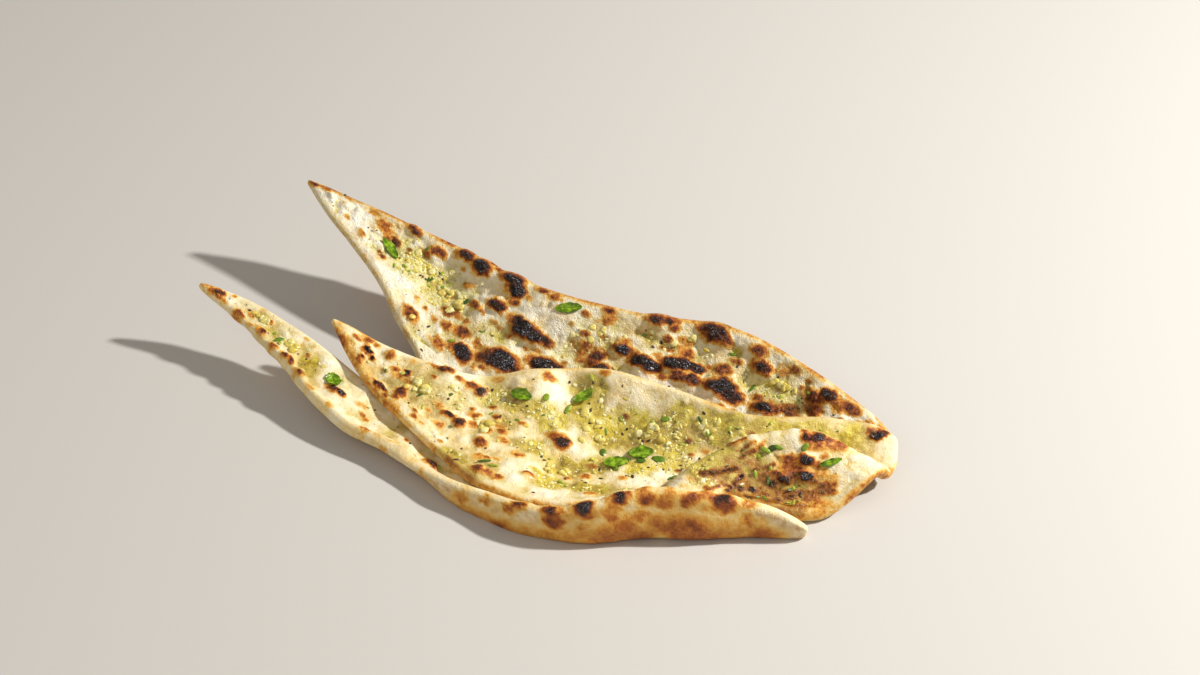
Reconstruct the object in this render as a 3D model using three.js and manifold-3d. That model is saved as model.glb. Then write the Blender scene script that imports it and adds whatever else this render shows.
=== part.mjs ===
// Chili garlic naan, cut lengthwise into three slices that still lie together as one bread.
// Millimetres. x runs along the bread, y to the back, z up. The origin is the middle of the
// footprint, on the surface that the bread rests on.
//
// A slice is a sagging sheet of dough. Three guide lines run along it, from its left tip to
// its right end: the far edge, the belly and the near edge. "along" is 0 to 1 from the left
// tip to the right end, "across" is 0 to 1 from the far edge to the near edge.

import * as THREE from "three";
import { mergeVertices } from "three/addons/utils/BufferGeometryUtils.js";
import Module from "manifold-3d";

const wasm = await Module();
wasm.setup();

// Dough
const DOUGH_THICKNESS = 4.4;
const RIM_RADIUS = 2.4; // how far in from an edge the rounding of the rim reaches
const END_LENGTH = 14; // the last stretch of a slice, which draws in to a rounded end
const END_WIDTH_SHARE = 0.35; // what is left of the width at the very end
const WAVE_HEIGHT = 0.9; // slow unevenness of rolled and baked dough
const BLISTER_RISE = 0.34; // height of a blister for each millimetre of its radius
const RIM_BULGE = 0.5; // how much of a blister's height pushes the outline out at a rim
const FOLD_POWER = 1.5; // how softly the slopes of a fold leave the sheet
const SHIFT_TO_MIDDLE = [4.7, 5.4]; // puts the middle of the footprint on the origin

// Toppings
const GARLIC_SIZE = [1.2, 2.0]; // radius of a piece of chopped garlic or chilli
const LEAF_THICKNESS = 0.6;
const LEAF_CLEARANCE = 1.1; // a leaf lies on the highest spots of the rough dough

// The back slice: a long crescent with browned crust along its far edge.
const sliceBack = {
  name: "slice_back",
  colour: 0xe6cf97,
  far: [
    [-112, 96, 42], [-77, 81, 34], [-42, 61, 29], [-5, 34, 27],
    [38, 15, 27], [80, 5, 26], [113, -18, 21], [147, -44, 8],
  ],
  near: [
    [-113, 93, 41], [-89, 59, 30], [-62, 14, 12], [-42, -30, 2],
    [8, -31, 1.7], [55, -45, 1.7], [98, -58, 2], [143, -55, 4],
  ],
  sag: [0, 3, 6, 8, 8, 8, 6, 0],
  crust: { across: 0, swell: 1.2, reach: 0.08, from: 0 },
  cells: [56, 13],
  folds: [],
  // along, across, radius, height
  humps: [
    [0.20, 0.75, 16, 1.6], [0.30, 0.30, 18, -1.8], [0.47, 0.14, 15, 1.6], [0.51, 0.38, 14, -2.0],
    [0.60, 0.20, 16, 1.4], [0.68, 0.17, 13, -1.8], [0.76, 0.30, 13, -1.6], [0.86, 0.30, 10, -1.5],
  ],
  // along, across, radius: the blisters that stand up most
  blisters: [
    [0.205, 0.01, 4], [0.255, 0.12, 5], [0.305, 0.02, 5.5], [0.340, 0.04, 6.5], [0.395, 0.01, 8],
    [0.385, 0.19, 4.5], [0.260, 0.86, 6], [0.368, 0.60, 6.5], [0.430, 0.46, 9], [0.437, 0.24, 7],
    [0.460, 0.27, 5], [0.490, 0.42, 6], [0.560, 0.42, 6], [0.575, 0.25, 4.5], [0.605, 0.02, 7],
    [0.612, 0.32, 7], [0.655, 0.29, 6], [0.690, 0.06, 8], [0.673, 0.38, 6.5], [0.730, 0.41, 10],
    [0.722, 0.27, 5], [0.777, 0.16, 5.5], [0.800, 0.43, 6], [0.868, 0.20, 5.5], [0.890, 0.13, 5],
  ],
  // along, across, spread along, spread across, pieces
  garlic: [
    [0.24, 0.32, 0.03, 0.10, 10], [0.31, 0.37, 0.03, 0.10, 9], [0.20, 0.55, 0.03, 0.12, 5],
    [0.53, 0.20, 0.03, 0.08, 8], [0.82, 0.22, 0.03, 0.07, 6], [0.68, 0.14, 0.06, 0.06, 4],
  ],
};

// The middle slice: its far edge curls up over the back slice, and its right end folds up.
const sliceMiddle = {
  name: "slice_middle",
  colour: 0xe9d9a4,
  far: [
    [-94, 14, 25], [-66, -1, 18], [-36, -13, 15], [-6, -12, 16], [24, -16, 20],
    [54, -31, 21], [84, -46, 20], [116, -47, 19], [147, -48, 14],
  ],
  near: [
    [-96, 11, 23], [-78, -19, 13], [-51, -51, 8], [-26.5, -78.5, 7.6], [2, -90, 8.4],
    [37, -89, 9], [72, -88, 7], [111, -91.5, 4.6], [144, -72, 7],
  ],
  sag: [0, 1, 3, 6, 12.6, 13.2, 10, 7, 0],
  crust: { across: 1, swell: 1.4, reach: 0.10, from: 0.72 },
  cells: [56, 14],
  folds: [
    { from: [50, -80], to: [140, -77], bow: 15, height: 15.5, front: 22, back: 8, rounding: 3.5 },
  ],
  humps: [
    [0.19, 0.35, 17, 2.2], [0.30, 0.14, 10, -2.2], [0.385, 0.12, 11, 3.2], [0.450, 0.11, 8, -2.6],
    [0.54, 0.05, 13, 2.0], [0.55, 0.30, 13, -1.2], [0.40, 0.62, 15, 1.4], [0.60, 0.60, 14, 1.0],
  ],
  blisters: [
    [0.125, 0.20, 4.5], [0.222, 0.03, 4.5], [0.280, 0.17, 5], [0.252, 0.55, 4.5], [0.283, 0.56, 4.5],
    [0.330, 0.63, 4.5], [0.460, 0.44, 6.5], [0.368, 0.87, 6], [0.435, 0.80, 4], [0.525, 0.75, 4.5],
    [0.848, 0.51, 4.5], [0.823, 0.64, 5], [0.850, 0.64, 5],
  ],
  garlic: [
    [0.20, 0.45, 0.03, 0.10, 8], [0.33, 0.50, 0.03, 0.10, 7], [0.50, 0.32, 0.03, 0.10, 9],
    [0.60, 0.25, 0.04, 0.09, 10], [0.69, 0.15, 0.03, 0.07, 8], [0.47, 0.65, 0.05, 0.10, 6],
  ],
};

// The front slice: a flat blade on the left that turns into a trough, whose crust curls up
// along its near edge.
const sliceFront = {
  name: "slice_front",
  colour: 0xe4cd98,
  far: [
    [-154, 33, 30], [-130, 24, 25], [-103, 6, 18.2], [-73, -17, 6.5], [-47, -46, 2.6],
    [-22, -80, 2], [10, -88, 1.8], [46, -88, 1.8], [104, -90, 2.4],
  ],
  belly: [
    [-155, 31, 29], [-134, 20.6, 22.5], [-111, 1.4, 16], [-83, -27, 4.6], [-59, -56, 0.6],
    [-29, -92, -4], [10, -109, -4.5], [50, -111, -4.5], [106, -105, -3],
  ],
  near: [
    [-156, 30, 29], [-138, 17, 22], [-119, -3.5, 17], [-92, -37, 11], [-64, -57.5, 9],
    [-34, -79, 10.4], [4, -99, 15.6], [46, -97, 24], [106, -98, 12],
  ],
  crust: { across: 1, swell: 2.2, reach: 0.10, from: 0 },
  cells: [54, 11],
  folds: [],
  humps: [[0.37, 0.45, 11, 2.6], [0.20, 0.20, 12, -0.8], [0.27, 0.30, 10, -1.0]],
  blisters: [
    [0.124, 0.92, 5], [0.193, 0.86, 5], [0.236, 0.96, 4.5], [0.269, 0.92, 5], [0.300, 0.95, 5.5],
    [0.344, 0.64, 6], [0.509, 0.90, 5], [0.529, 0.41, 4.5], [0.710, 0.97, 4.5], [0.745, 0.97, 4.5],
    [0.785, 0.97, 6.5], [0.828, 0.97, 6.5], [0.860, 0.99, 4], [0.882, 0.96, 4.5],
    [0.917, 1.00, 4.5], [0.935, 0.97, 6.5],
  ],
  garlic: [[0.17, 0.42, 0.03, 0.10, 6], [0.24, 0.50, 0.03, 0.10, 6], [0.31, 0.42, 0.03, 0.10, 5]],
};

// The largest coriander leaves: slice, along, across, length, width, heading in degrees
const leaves = [
  [sliceBack, 0.185, 0.47, 12, 6.5, 10],
  [sliceBack, 0.485, 0.07, 12, 5.5, -20],
  [sliceMiddle, 0.368, 0.21, 10, 6, 15],
  [sliceMiddle, 0.476, 0.15, 9.5, 6, -40],
  [sliceMiddle, 0.562, 0.53, 10.5, 7.5, -5],
  [sliceMiddle, 0.597, 0.43, 10.5, 8, -15],
  [sliceMiddle, 0.888, 0.57, 10, 3.4, 10],
  [sliceFront, 0.325, 0.48, 9, 7.5, 25],
];

// Guide lines as smooth curves. A slice given by its sag has its belly under the middle.
function guideLine(points) {
  const vectors = points.map((p) => new THREE.Vector3(...p));
  return new THREE.CatmullRomCurve3(vectors, false, "catmullrom", 0.5);
}

function sagging(slice) {
  return slice.far.map((far, i) => {
    const near = slice.near[i];
    return [(far[0] + near[0]) / 2, (far[1] + near[1]) / 2, (far[2] + near[2]) / 2 - 2 * slice.sag[i]];
  });
}

for (const slice of [sliceBack, sliceMiddle, sliceFront]) {
  slice.guides = [slice.far, slice.belly ?? sagging(slice), slice.near].map(guideLine);
  slice.length = slice.guides[1].getLength();
}

// How high a fold lifts the sheet over a point of the plan. Its crest bows to the back, and
// falls in a long slope to the front and a short one to the back.
function foldLift(fold, x, y) {
  const [startX, startY] = fold.from;
  const [endX, endY] = fold.to;
  const share = THREE.MathUtils.clamp((x - startX) / (endX - startX), 0, 1);
  const arch = 4 * share * (1 - share);
  const distance = y - (startY + (endY - startY) * share + fold.bow * arch);
  const reach = distance > 0 ? fold.back : fold.front;
  const slope = (Math.hypot(distance, fold.rounding) - fold.rounding) / reach;
  return fold.height * Math.sqrt(arch) * Math.max(0, 1 - slope) ** FOLD_POWER;
}

// The middle of the dough, before blisters.
function middle(slice, along, across) {
  const [far, belly, near] = slice.guides.map((guide) => guide.getPoint(along));
  const rest = 1 - across;
  const point = far.multiplyScalar(rest * rest);
  point.addScaledVector(belly, 2 * across * rest).addScaledVector(near, across * across);
  for (const fold of slice.folds) {
    point.z += foldLift(fold, point.x, point.y);
  }
  return point;
}

// The directions along and across the sheet and its normal, which points up and out.
function directions(slice, along, across) {
  const step = 0.004;
  const before = Math.max(along - step, 0);
  const after = Math.min(along + step, 1);
  const alongDirection = middle(slice, after, across).sub(middle(slice, before, across));
  const acrossDirection = middle(slice, along, across + step).sub(middle(slice, along, across - step));
  const normal = acrossDirection.clone().cross(alongDirection).normalize();
  return {
    normal,
    alongDirection: alongDirection.divideScalar(after - before),
    acrossDirection: acrossDirection.divideScalar(2 * step),
  };
}

function waves(point) {
  const slow = Math.sin(point.x / 13 + point.y / 21) * Math.cos(point.y / 11 - point.x / 37);
  const quick = Math.sin(point.x / 6.1 - point.y / 7.3);
  return WAVE_HEIGHT * (0.7 * slow + 0.3 * quick);
}

function dome(point, centre, radius) {
  const share = point.distanceTo(centre) / radius;
  return share < 1 ? (1 - share * share) ** 2 : 0;
}

for (const slice of [sliceBack, sliceMiddle, sliceFront]) {
  for (const list of [slice.blisters, slice.humps]) {
    for (const bump of list) {
      bump.centre = middle(slice, bump[0], bump[1]);
    }
  }
}

function blisterRise(slice, point) {
  const rises = slice.blisters.map((blister) => {
    const radius = blister[2];
    return BLISTER_RISE * radius * dome(point, blister.centre, radius * 1.25);
  });
  return Math.max(...rises);
}

function humpRise(slice, point) {
  return slice.humps.reduce((sum, hump) => {
    const [, , radius, height] = hump;
    return sum + height * dome(point, hump.centre, radius * 1.4);
  }, 0);
}

// Width of the sheet at a place, for rims of the same size all round.
function widthAt(slice, along) {
  const marks = [0, 0.25, 0.5, 0.75, 1].map((across) => middle(slice, along, across));
  return marks.slice(1).reduce((sum, mark, i) => sum + mark.distanceTo(marks[i]), 0);
}

// The dough at a place: its middle, its normal, and half its thickness above and below.
function dough(slice, along, across) {
  const width = widthAt(slice, along);
  const endDistance = Math.min(along, 1 - along) * slice.length;
  const taper = THREE.MathUtils.clamp(endDistance / END_LENGTH, 0, 1);
  const drawnIn = END_WIDTH_SHARE + (1 - END_WIDTH_SHARE) * Math.sqrt(taper * (2 - taper));
  const place = 0.5 + (across - 0.5) * drawnIn;
  const edgeDistance = Math.min(across, 1 - across) * width * drawnIn;
  const rim = THREE.MathUtils.clamp(Math.min(edgeDistance, endDistance) / RIM_RADIUS, 0, 1);
  const rounding = Math.sqrt(rim * (2 - rim));

  const point = middle(slice, along, place);
  const { normal, acrossDirection } = directions(slice, along, place);
  const blister = blisterRise(slice, point);
  const nearRim = (2 * Math.abs(across - 0.5)) ** 8;
  const outward = acrossDirection.normalize().multiplyScalar(Math.sign(across - 0.5));
  const lift = waves(point) + humpRise(slice, point);
  const { crust } = slice;
  const crustShare = along < crust.from ? 0 : Math.exp(-(((across - crust.across) / crust.reach) ** 2));
  const half = (DOUGH_THICKNESS + crust.swell * crustShare) / 2;

  point.addScaledVector(outward, RIM_BULGE * blister * nearRim);
  point.addScaledVector(normal, lift);
  return { point, normal, above: (half + blister) * rounding, below: half * rounding };
}

function topOf(slice, along, across) {
  const place = dough(slice, along, across);
  return place.point.clone().addScaledVector(place.normal, place.above);
}

function undersideOf(slice, along, across) {
  const place = dough(slice, along, across);
  const point = place.point.clone().addScaledVector(place.normal, -place.below);
  point.z = Math.max(point.z, 0); // the dough lies flat where it rests
  return point;
}

// Marks from 0 to 1, close together at both rims and even between them.
function marks(length, count) {
  const rim = Math.min(RIM_RADIUS / length, 0.3);
  const inner = count - 4;
  const list = [0, 0.3 * rim];
  for (let i = 0; i <= inner; i += 1) {
    list.push(rim + ((1 - 2 * rim) * i) / inner);
  }
  list.push(1 - 0.3 * rim, 1);
  return list;
}

// A closed solid from two faces that share their outer row of points.
function closedSheet(columns, rows, topPoint, bottomPoint) {
  const positions = [];
  const top = [];
  const bottom = [];
  const add = (point) => positions.push(point.x, point.y, point.z) / 3 - 1;
  for (let i = 0; i <= columns; i += 1) {
    top.push([]);
    bottom.push([]);
    for (let j = 0; j <= rows; j += 1) {
      const onEdge = i === 0 || j === 0 || i === columns || j === rows;
      top[i].push(add(topPoint(i, j)));
      bottom[i].push(onEdge ? top[i][j] : add(bottomPoint(i, j)));
    }
  }
  const triangles = [];
  for (let i = 0; i < columns; i += 1) {
    for (let j = 0; j < rows; j += 1) {
      for (const [face, upward] of [[top, true], [bottom, false]]) {
        const [a, b, c, d] = [face[i][j], face[i][j + 1], face[i + 1][j + 1], face[i + 1][j]];
        triangles.push(...(upward ? [a, b, c, a, c, d] : [a, c, b, a, d, c]));
      }
    }
  }
  return new wasm.Manifold(new wasm.Mesh({
    numProp: 3,
    vertProperties: new Float32Array(positions),
    triVerts: new Uint32Array(triangles),
  }));
}

function sliceSolid(slice) {
  const [columns, rows] = slice.cells;
  const alongMarks = marks(slice.length, columns);
  const acrossMarks = alongMarks.map((along) => marks(widthAt(slice, along), rows));
  return closedSheet(
    columns,
    rows,
    (i, j) => topOf(slice, alongMarks[i], acrossMarks[i][j]),
    (i, j) => undersideOf(slice, alongMarks[i], acrossMarks[i][j]),
  );
}

// Repeatable random numbers from 0 to 1.
function randomNumbers(seed) {
  let state = seed;
  return () => {
    state = (state * 1664525 + 1013904223) % 4294967296;
    return state / 4294967296;
  };
}

// A piece of chopped garlic or chilli: an uneven twenty-sided lump, half sunk in the dough.
function garlicPiece(slice, along, across, random) {
  const size = GARLIC_SIZE[0] + (GARLIC_SIZE[1] - GARLIC_SIZE[0]) * random();
  const shape = new THREE.IcosahedronGeometry(size, 0);
  shape.scale(1, 0.65 + 0.35 * random(), 0.6 + 0.2 * random());
  shape.rotateZ(Math.PI * random());
  const place = dough(slice, along, across);
  const upright = new THREE.Quaternion().setFromUnitVectors(new THREE.Vector3(0, 0, 1), place.normal);
  shape.applyQuaternion(upright);
  const centre = place.point.addScaledVector(place.normal, place.above);
  shape.translate(centre.x, centre.y, centre.z);
  return solidFrom(shape);
}

function solidFrom(geometry) {
  geometry.deleteAttribute("normal");
  geometry.deleteAttribute("uv");
  const merged = mergeVertices(geometry, 1e-4);
  return new wasm.Manifold(new wasm.Mesh({
    numProp: 3,
    vertProperties: new Float32Array(merged.attributes.position.array),
    triVerts: new Uint32Array(merged.index.array),
  }));
}

function withGarlic(slice, solid, random) {
  let whole = solid;
  for (const [along, across, spreadAlong, spreadAcross, pieces] of slice.garlic) {
    for (let i = 0; i < pieces; i += 1) {
      const a = along + spreadAlong * (random() + random() - 1);
      const b = across + spreadAcross * (random() + random() - 1);
      whole = whole.add(garlicPiece(slice, a, b, random));
    }
  }
  return whole;
}

// A leaf: a thin wavy solid that follows the dough under it.
function leafSolid(slice, along, across, length, width, headingDegrees) {
  const columns = 7;
  const rows = 4;
  const heading = THREE.MathUtils.degToRad(headingDegrees);
  const centre = middle(slice, along, across);
  const { alongDirection, acrossDirection } = directions(slice, along, across);
  const sheetPlace = (u, v) => {
    const halfWidth = (width / 2) * Math.cos((Math.PI / 2) * u * 0.96) ** 0.7;
    const forward = (length / 2) * u;
    const sideways = halfWidth * v;
    const a = forward * Math.cos(heading) - sideways * Math.sin(heading);
    const b = forward * Math.sin(heading) + sideways * Math.cos(heading);
    return dough(slice, along + a / alongDirection.length(), across + b / acrossDirection.length());
  };
  const surface = (raise) => (i, j) => {
    const u = (2 * i) / columns - 1;
    const v = (2 * j) / rows - 1;
    const place = sheetPlace(u, v);
    const wave = 0.5 * v * v + 0.35 * Math.sin(3 * u + centre.x) ** 2;
    return place.point.addScaledVector(place.normal, place.above + LEAF_CLEARANCE + wave + raise);
  };
  const edgeRaise = (i, j) => (i === 0 || j === 0 || i === columns || j === rows ? 0.5 : 1);
  return closedSheet(
    columns,
    rows,
    (i, j) => surface(LEAF_THICKNESS * edgeRaise(i, j))(i, j),
    surface(0),
  );
}

function namedMesh(name, solid, material) {
  const { vertProperties, triVerts } = solid.getMesh();
  const geometry = new THREE.BufferGeometry();
  geometry.setAttribute("position", new THREE.BufferAttribute(vertProperties, 3));
  geometry.setIndex(new THREE.BufferAttribute(triVerts, 1));
  geometry.computeVertexNormals();
  const mesh = new THREE.Mesh(geometry, material);
  mesh.name = name;
  return mesh;
}

const naan = new THREE.Group();
naan.position.set(...SHIFT_TO_MIDDLE, 0);

const random = randomNumbers(7);
for (const slice of [sliceBack, sliceMiddle, sliceFront]) {
  const dressed = withGarlic(slice, sliceSolid(slice), random);
  const material = new THREE.MeshStandardMaterial({ color: slice.colour, roughness: 0.55, metalness: 0 });
  naan.add(namedMesh(slice.name, dressed, material));
}

leaves.forEach((leaf, i) => {
  const material = new THREE.MeshStandardMaterial({ color: 0x4c8a1f, roughness: 0.45, metalness: 0 });
  naan.add(namedMesh(`coriander_leaf_${i + 1}`, leafSolid(...leaf), material));
});

export default naan;
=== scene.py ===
import math

import bmesh
import bpy
import numpy as np
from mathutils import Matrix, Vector


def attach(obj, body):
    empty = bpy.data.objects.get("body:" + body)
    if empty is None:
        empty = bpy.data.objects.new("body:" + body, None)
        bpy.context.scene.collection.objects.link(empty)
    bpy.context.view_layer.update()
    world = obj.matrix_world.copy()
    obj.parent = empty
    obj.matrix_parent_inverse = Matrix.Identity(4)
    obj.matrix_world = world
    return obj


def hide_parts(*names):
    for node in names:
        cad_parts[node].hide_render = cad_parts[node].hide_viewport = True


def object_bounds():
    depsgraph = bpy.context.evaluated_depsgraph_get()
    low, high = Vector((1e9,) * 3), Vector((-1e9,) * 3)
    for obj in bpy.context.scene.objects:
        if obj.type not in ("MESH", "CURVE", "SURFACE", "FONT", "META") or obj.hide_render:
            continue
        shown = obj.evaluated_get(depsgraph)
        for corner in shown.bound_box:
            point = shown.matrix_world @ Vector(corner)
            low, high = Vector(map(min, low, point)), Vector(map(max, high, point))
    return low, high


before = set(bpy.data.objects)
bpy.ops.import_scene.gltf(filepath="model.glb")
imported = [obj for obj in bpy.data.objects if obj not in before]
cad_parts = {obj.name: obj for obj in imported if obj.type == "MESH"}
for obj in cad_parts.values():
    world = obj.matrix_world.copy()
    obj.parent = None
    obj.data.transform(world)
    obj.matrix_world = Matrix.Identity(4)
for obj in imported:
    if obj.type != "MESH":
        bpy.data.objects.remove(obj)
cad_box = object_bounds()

# The viewpoint: a bread on a pale studio table, seen from the front and 38 degrees above.
# A key light from the back right models the blisters, and a large soft one fills the front.

MM = 0.001
SHIFT_TO_MIDDLE = np.array([4.7, 5.4, 0.0])  # mm, puts the middle of the footprint on the origin
LENS_MM = 70
SENSOR_MM = 36
EYE_MM = np.array([21.75, -795.144, 645.895]) + SHIFT_TO_MIDDLE
TARGET_MM = np.array([21.75, 4.687, 20.999]) + SHIFT_TO_MIDDLE
KEY_FROM = Vector((0.76, 0.04, 0.62))
FILL_FROM = Vector((-0.75, -0.75, 0.95))
LIGHT_DISTANCE = 1.6
FLOOR_SIZE = 12.0


def srgb(red, green, blue):
    """A colour given as screen values from 0 to 255, as the linear values that shaders take."""
    shares = np.array([red, green, blue]) / 255
    linear = np.where(shares <= 0.04045, shares / 12.92, ((shares + 0.055) / 1.055) ** 2.4)
    return (*(float(v) for v in linear), 1.0)


def aim(obj, direction):
    """Turns a lamp or the camera to look along a direction."""
    obj.rotation_mode = "QUATERNION"
    obj.rotation_quaternion = direction.to_track_quat("-Z", "Y")


def soft_light(name, direction, size, watts, colour):
    """A round soft lamp that shines on the bread from the direction given."""
    data = bpy.data.lights.new(name, "AREA")
    data.shape = "DISK"
    data.size = size
    data.energy = watts
    data.color = colour
    lamp = bpy.data.objects.new(name, data)
    bpy.context.scene.collection.objects.link(lamp)
    lamp.location = direction.normalized() * LIGHT_DISTANCE
    aim(lamp, -direction)


camera_data = bpy.data.cameras.new("camera")
camera_data.lens = LENS_MM
camera_data.sensor_width = SENSOR_MM
camera_data.clip_end = 20
camera = bpy.data.objects.new("camera", camera_data)
camera.location = Vector(EYE_MM * MM)
aim(camera, Vector((TARGET_MM - EYE_MM) * MM))
bpy.context.scene.collection.objects.link(camera)
bpy.context.scene.camera = camera

soft_light("key_light", KEY_FROM, size=0.1, watts=36, colour=(1.0, 0.97, 0.92))
soft_light("fill_light", FILL_FROM, size=1.6, watts=6, colour=(1.0, 0.94, 0.84))
bpy.context.scene.view_settings.view_transform = "Standard"

world = bpy.data.worlds.new("studio")
world.use_nodes = True
room_light = world.node_tree.nodes["Background"].inputs
room_light["Color"].default_value = (1.0, 0.95, 0.87, 1)
room_light["Strength"].default_value = 0.27
bpy.context.scene.world = world


def new_material(name, settings):
    """A material and its shader, with plain values set on the shader's own sockets."""
    material = bpy.data.materials.new(name)
    material.use_nodes = True
    shader = material.node_tree.nodes["Principled BSDF"]
    for title, value in settings.items():
        shader.inputs[title].default_value = value
    return material, shader


floor_mesh = bpy.data.meshes.new("table_top")
half_floor = FLOOR_SIZE / 2
floor_mesh.from_pydata(
    [(-half_floor, -half_floor, 0), (half_floor, -half_floor, 0),
     (half_floor, half_floor, 0), (-half_floor, half_floor, 0)],
    [], [(0, 1, 2, 3)],
)
floor = bpy.data.objects.new("table_top", floor_mesh)
bpy.context.scene.collection.objects.link(floor)
floor_paint, _ = new_material("pale table", {"Base Color": srgb(200, 197, 193), "Roughness": 0.7})
floor_mesh.materials.append(floor_paint)

# Back slice: a long crescent cut from the bread, with the oven's browned crust on its far edge.
# Leavened dough, stretched thin and baked on a hot wall, so bubbles swell and char on top.
# Made as one sagging sheet between three guide lines, thick as the dough, with bubbles raised.

DOUGH_THICKNESS = 4.4
RIM_RADIUS = 2.4
END_LENGTH = 14
END_WIDTH_SHARE = 0.35
WAVE_HEIGHT = 0.9
BLISTER_RISE = 0.34
BLISTER_FOOT = 1.25  # a blister's radius at its foot, as a share of its named radius
HUMP_FOOT = 1.4
RIM_BULGE = 0.5
FOLD_POWER = 1.5
GRID_STEP = 0.85  # mm between the points of the fine surface
RIM_STEPS = (0.0, 0.06, 0.2, 0.42, 0.7)  # shares of the rim's radius with a row of points
SPOT_STRETCH = 1.25  # a burnt spot is longer along the slice than across it
SPOT_SQUEEZE = 0.86
DARK_SIDE = np.array([0.8, -0.6, 0.0])  # the side of a bubble that burnt most
EDGE_REACH = 1.6  # mm that the look of the cut edge reaches over the dough
CALM_EDGE = 6  # mm from the edge over which the fine relief grows to its full height
CHAR_FROM = 0.62  # the toast at which dough starts to char
CHAR_RANGE = 0.25
CINDER_HEIGHT = 1.5
BAND_FADE = 0.04  # share of the length over which a browned edge band starts and ends
BAKED_FROM = 1.5  # mm from the edge at which the underside starts to darken
BAKED_RANGE = 9
NOISE_SHIFT = 17.13  # features that the noise moves by for each step of its seed
CELL_PRIMES = np.array([73856093, 19349663, 83492791])  # turn a cell of noise into its number
MIXING_PRIME = 1274126177

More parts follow.
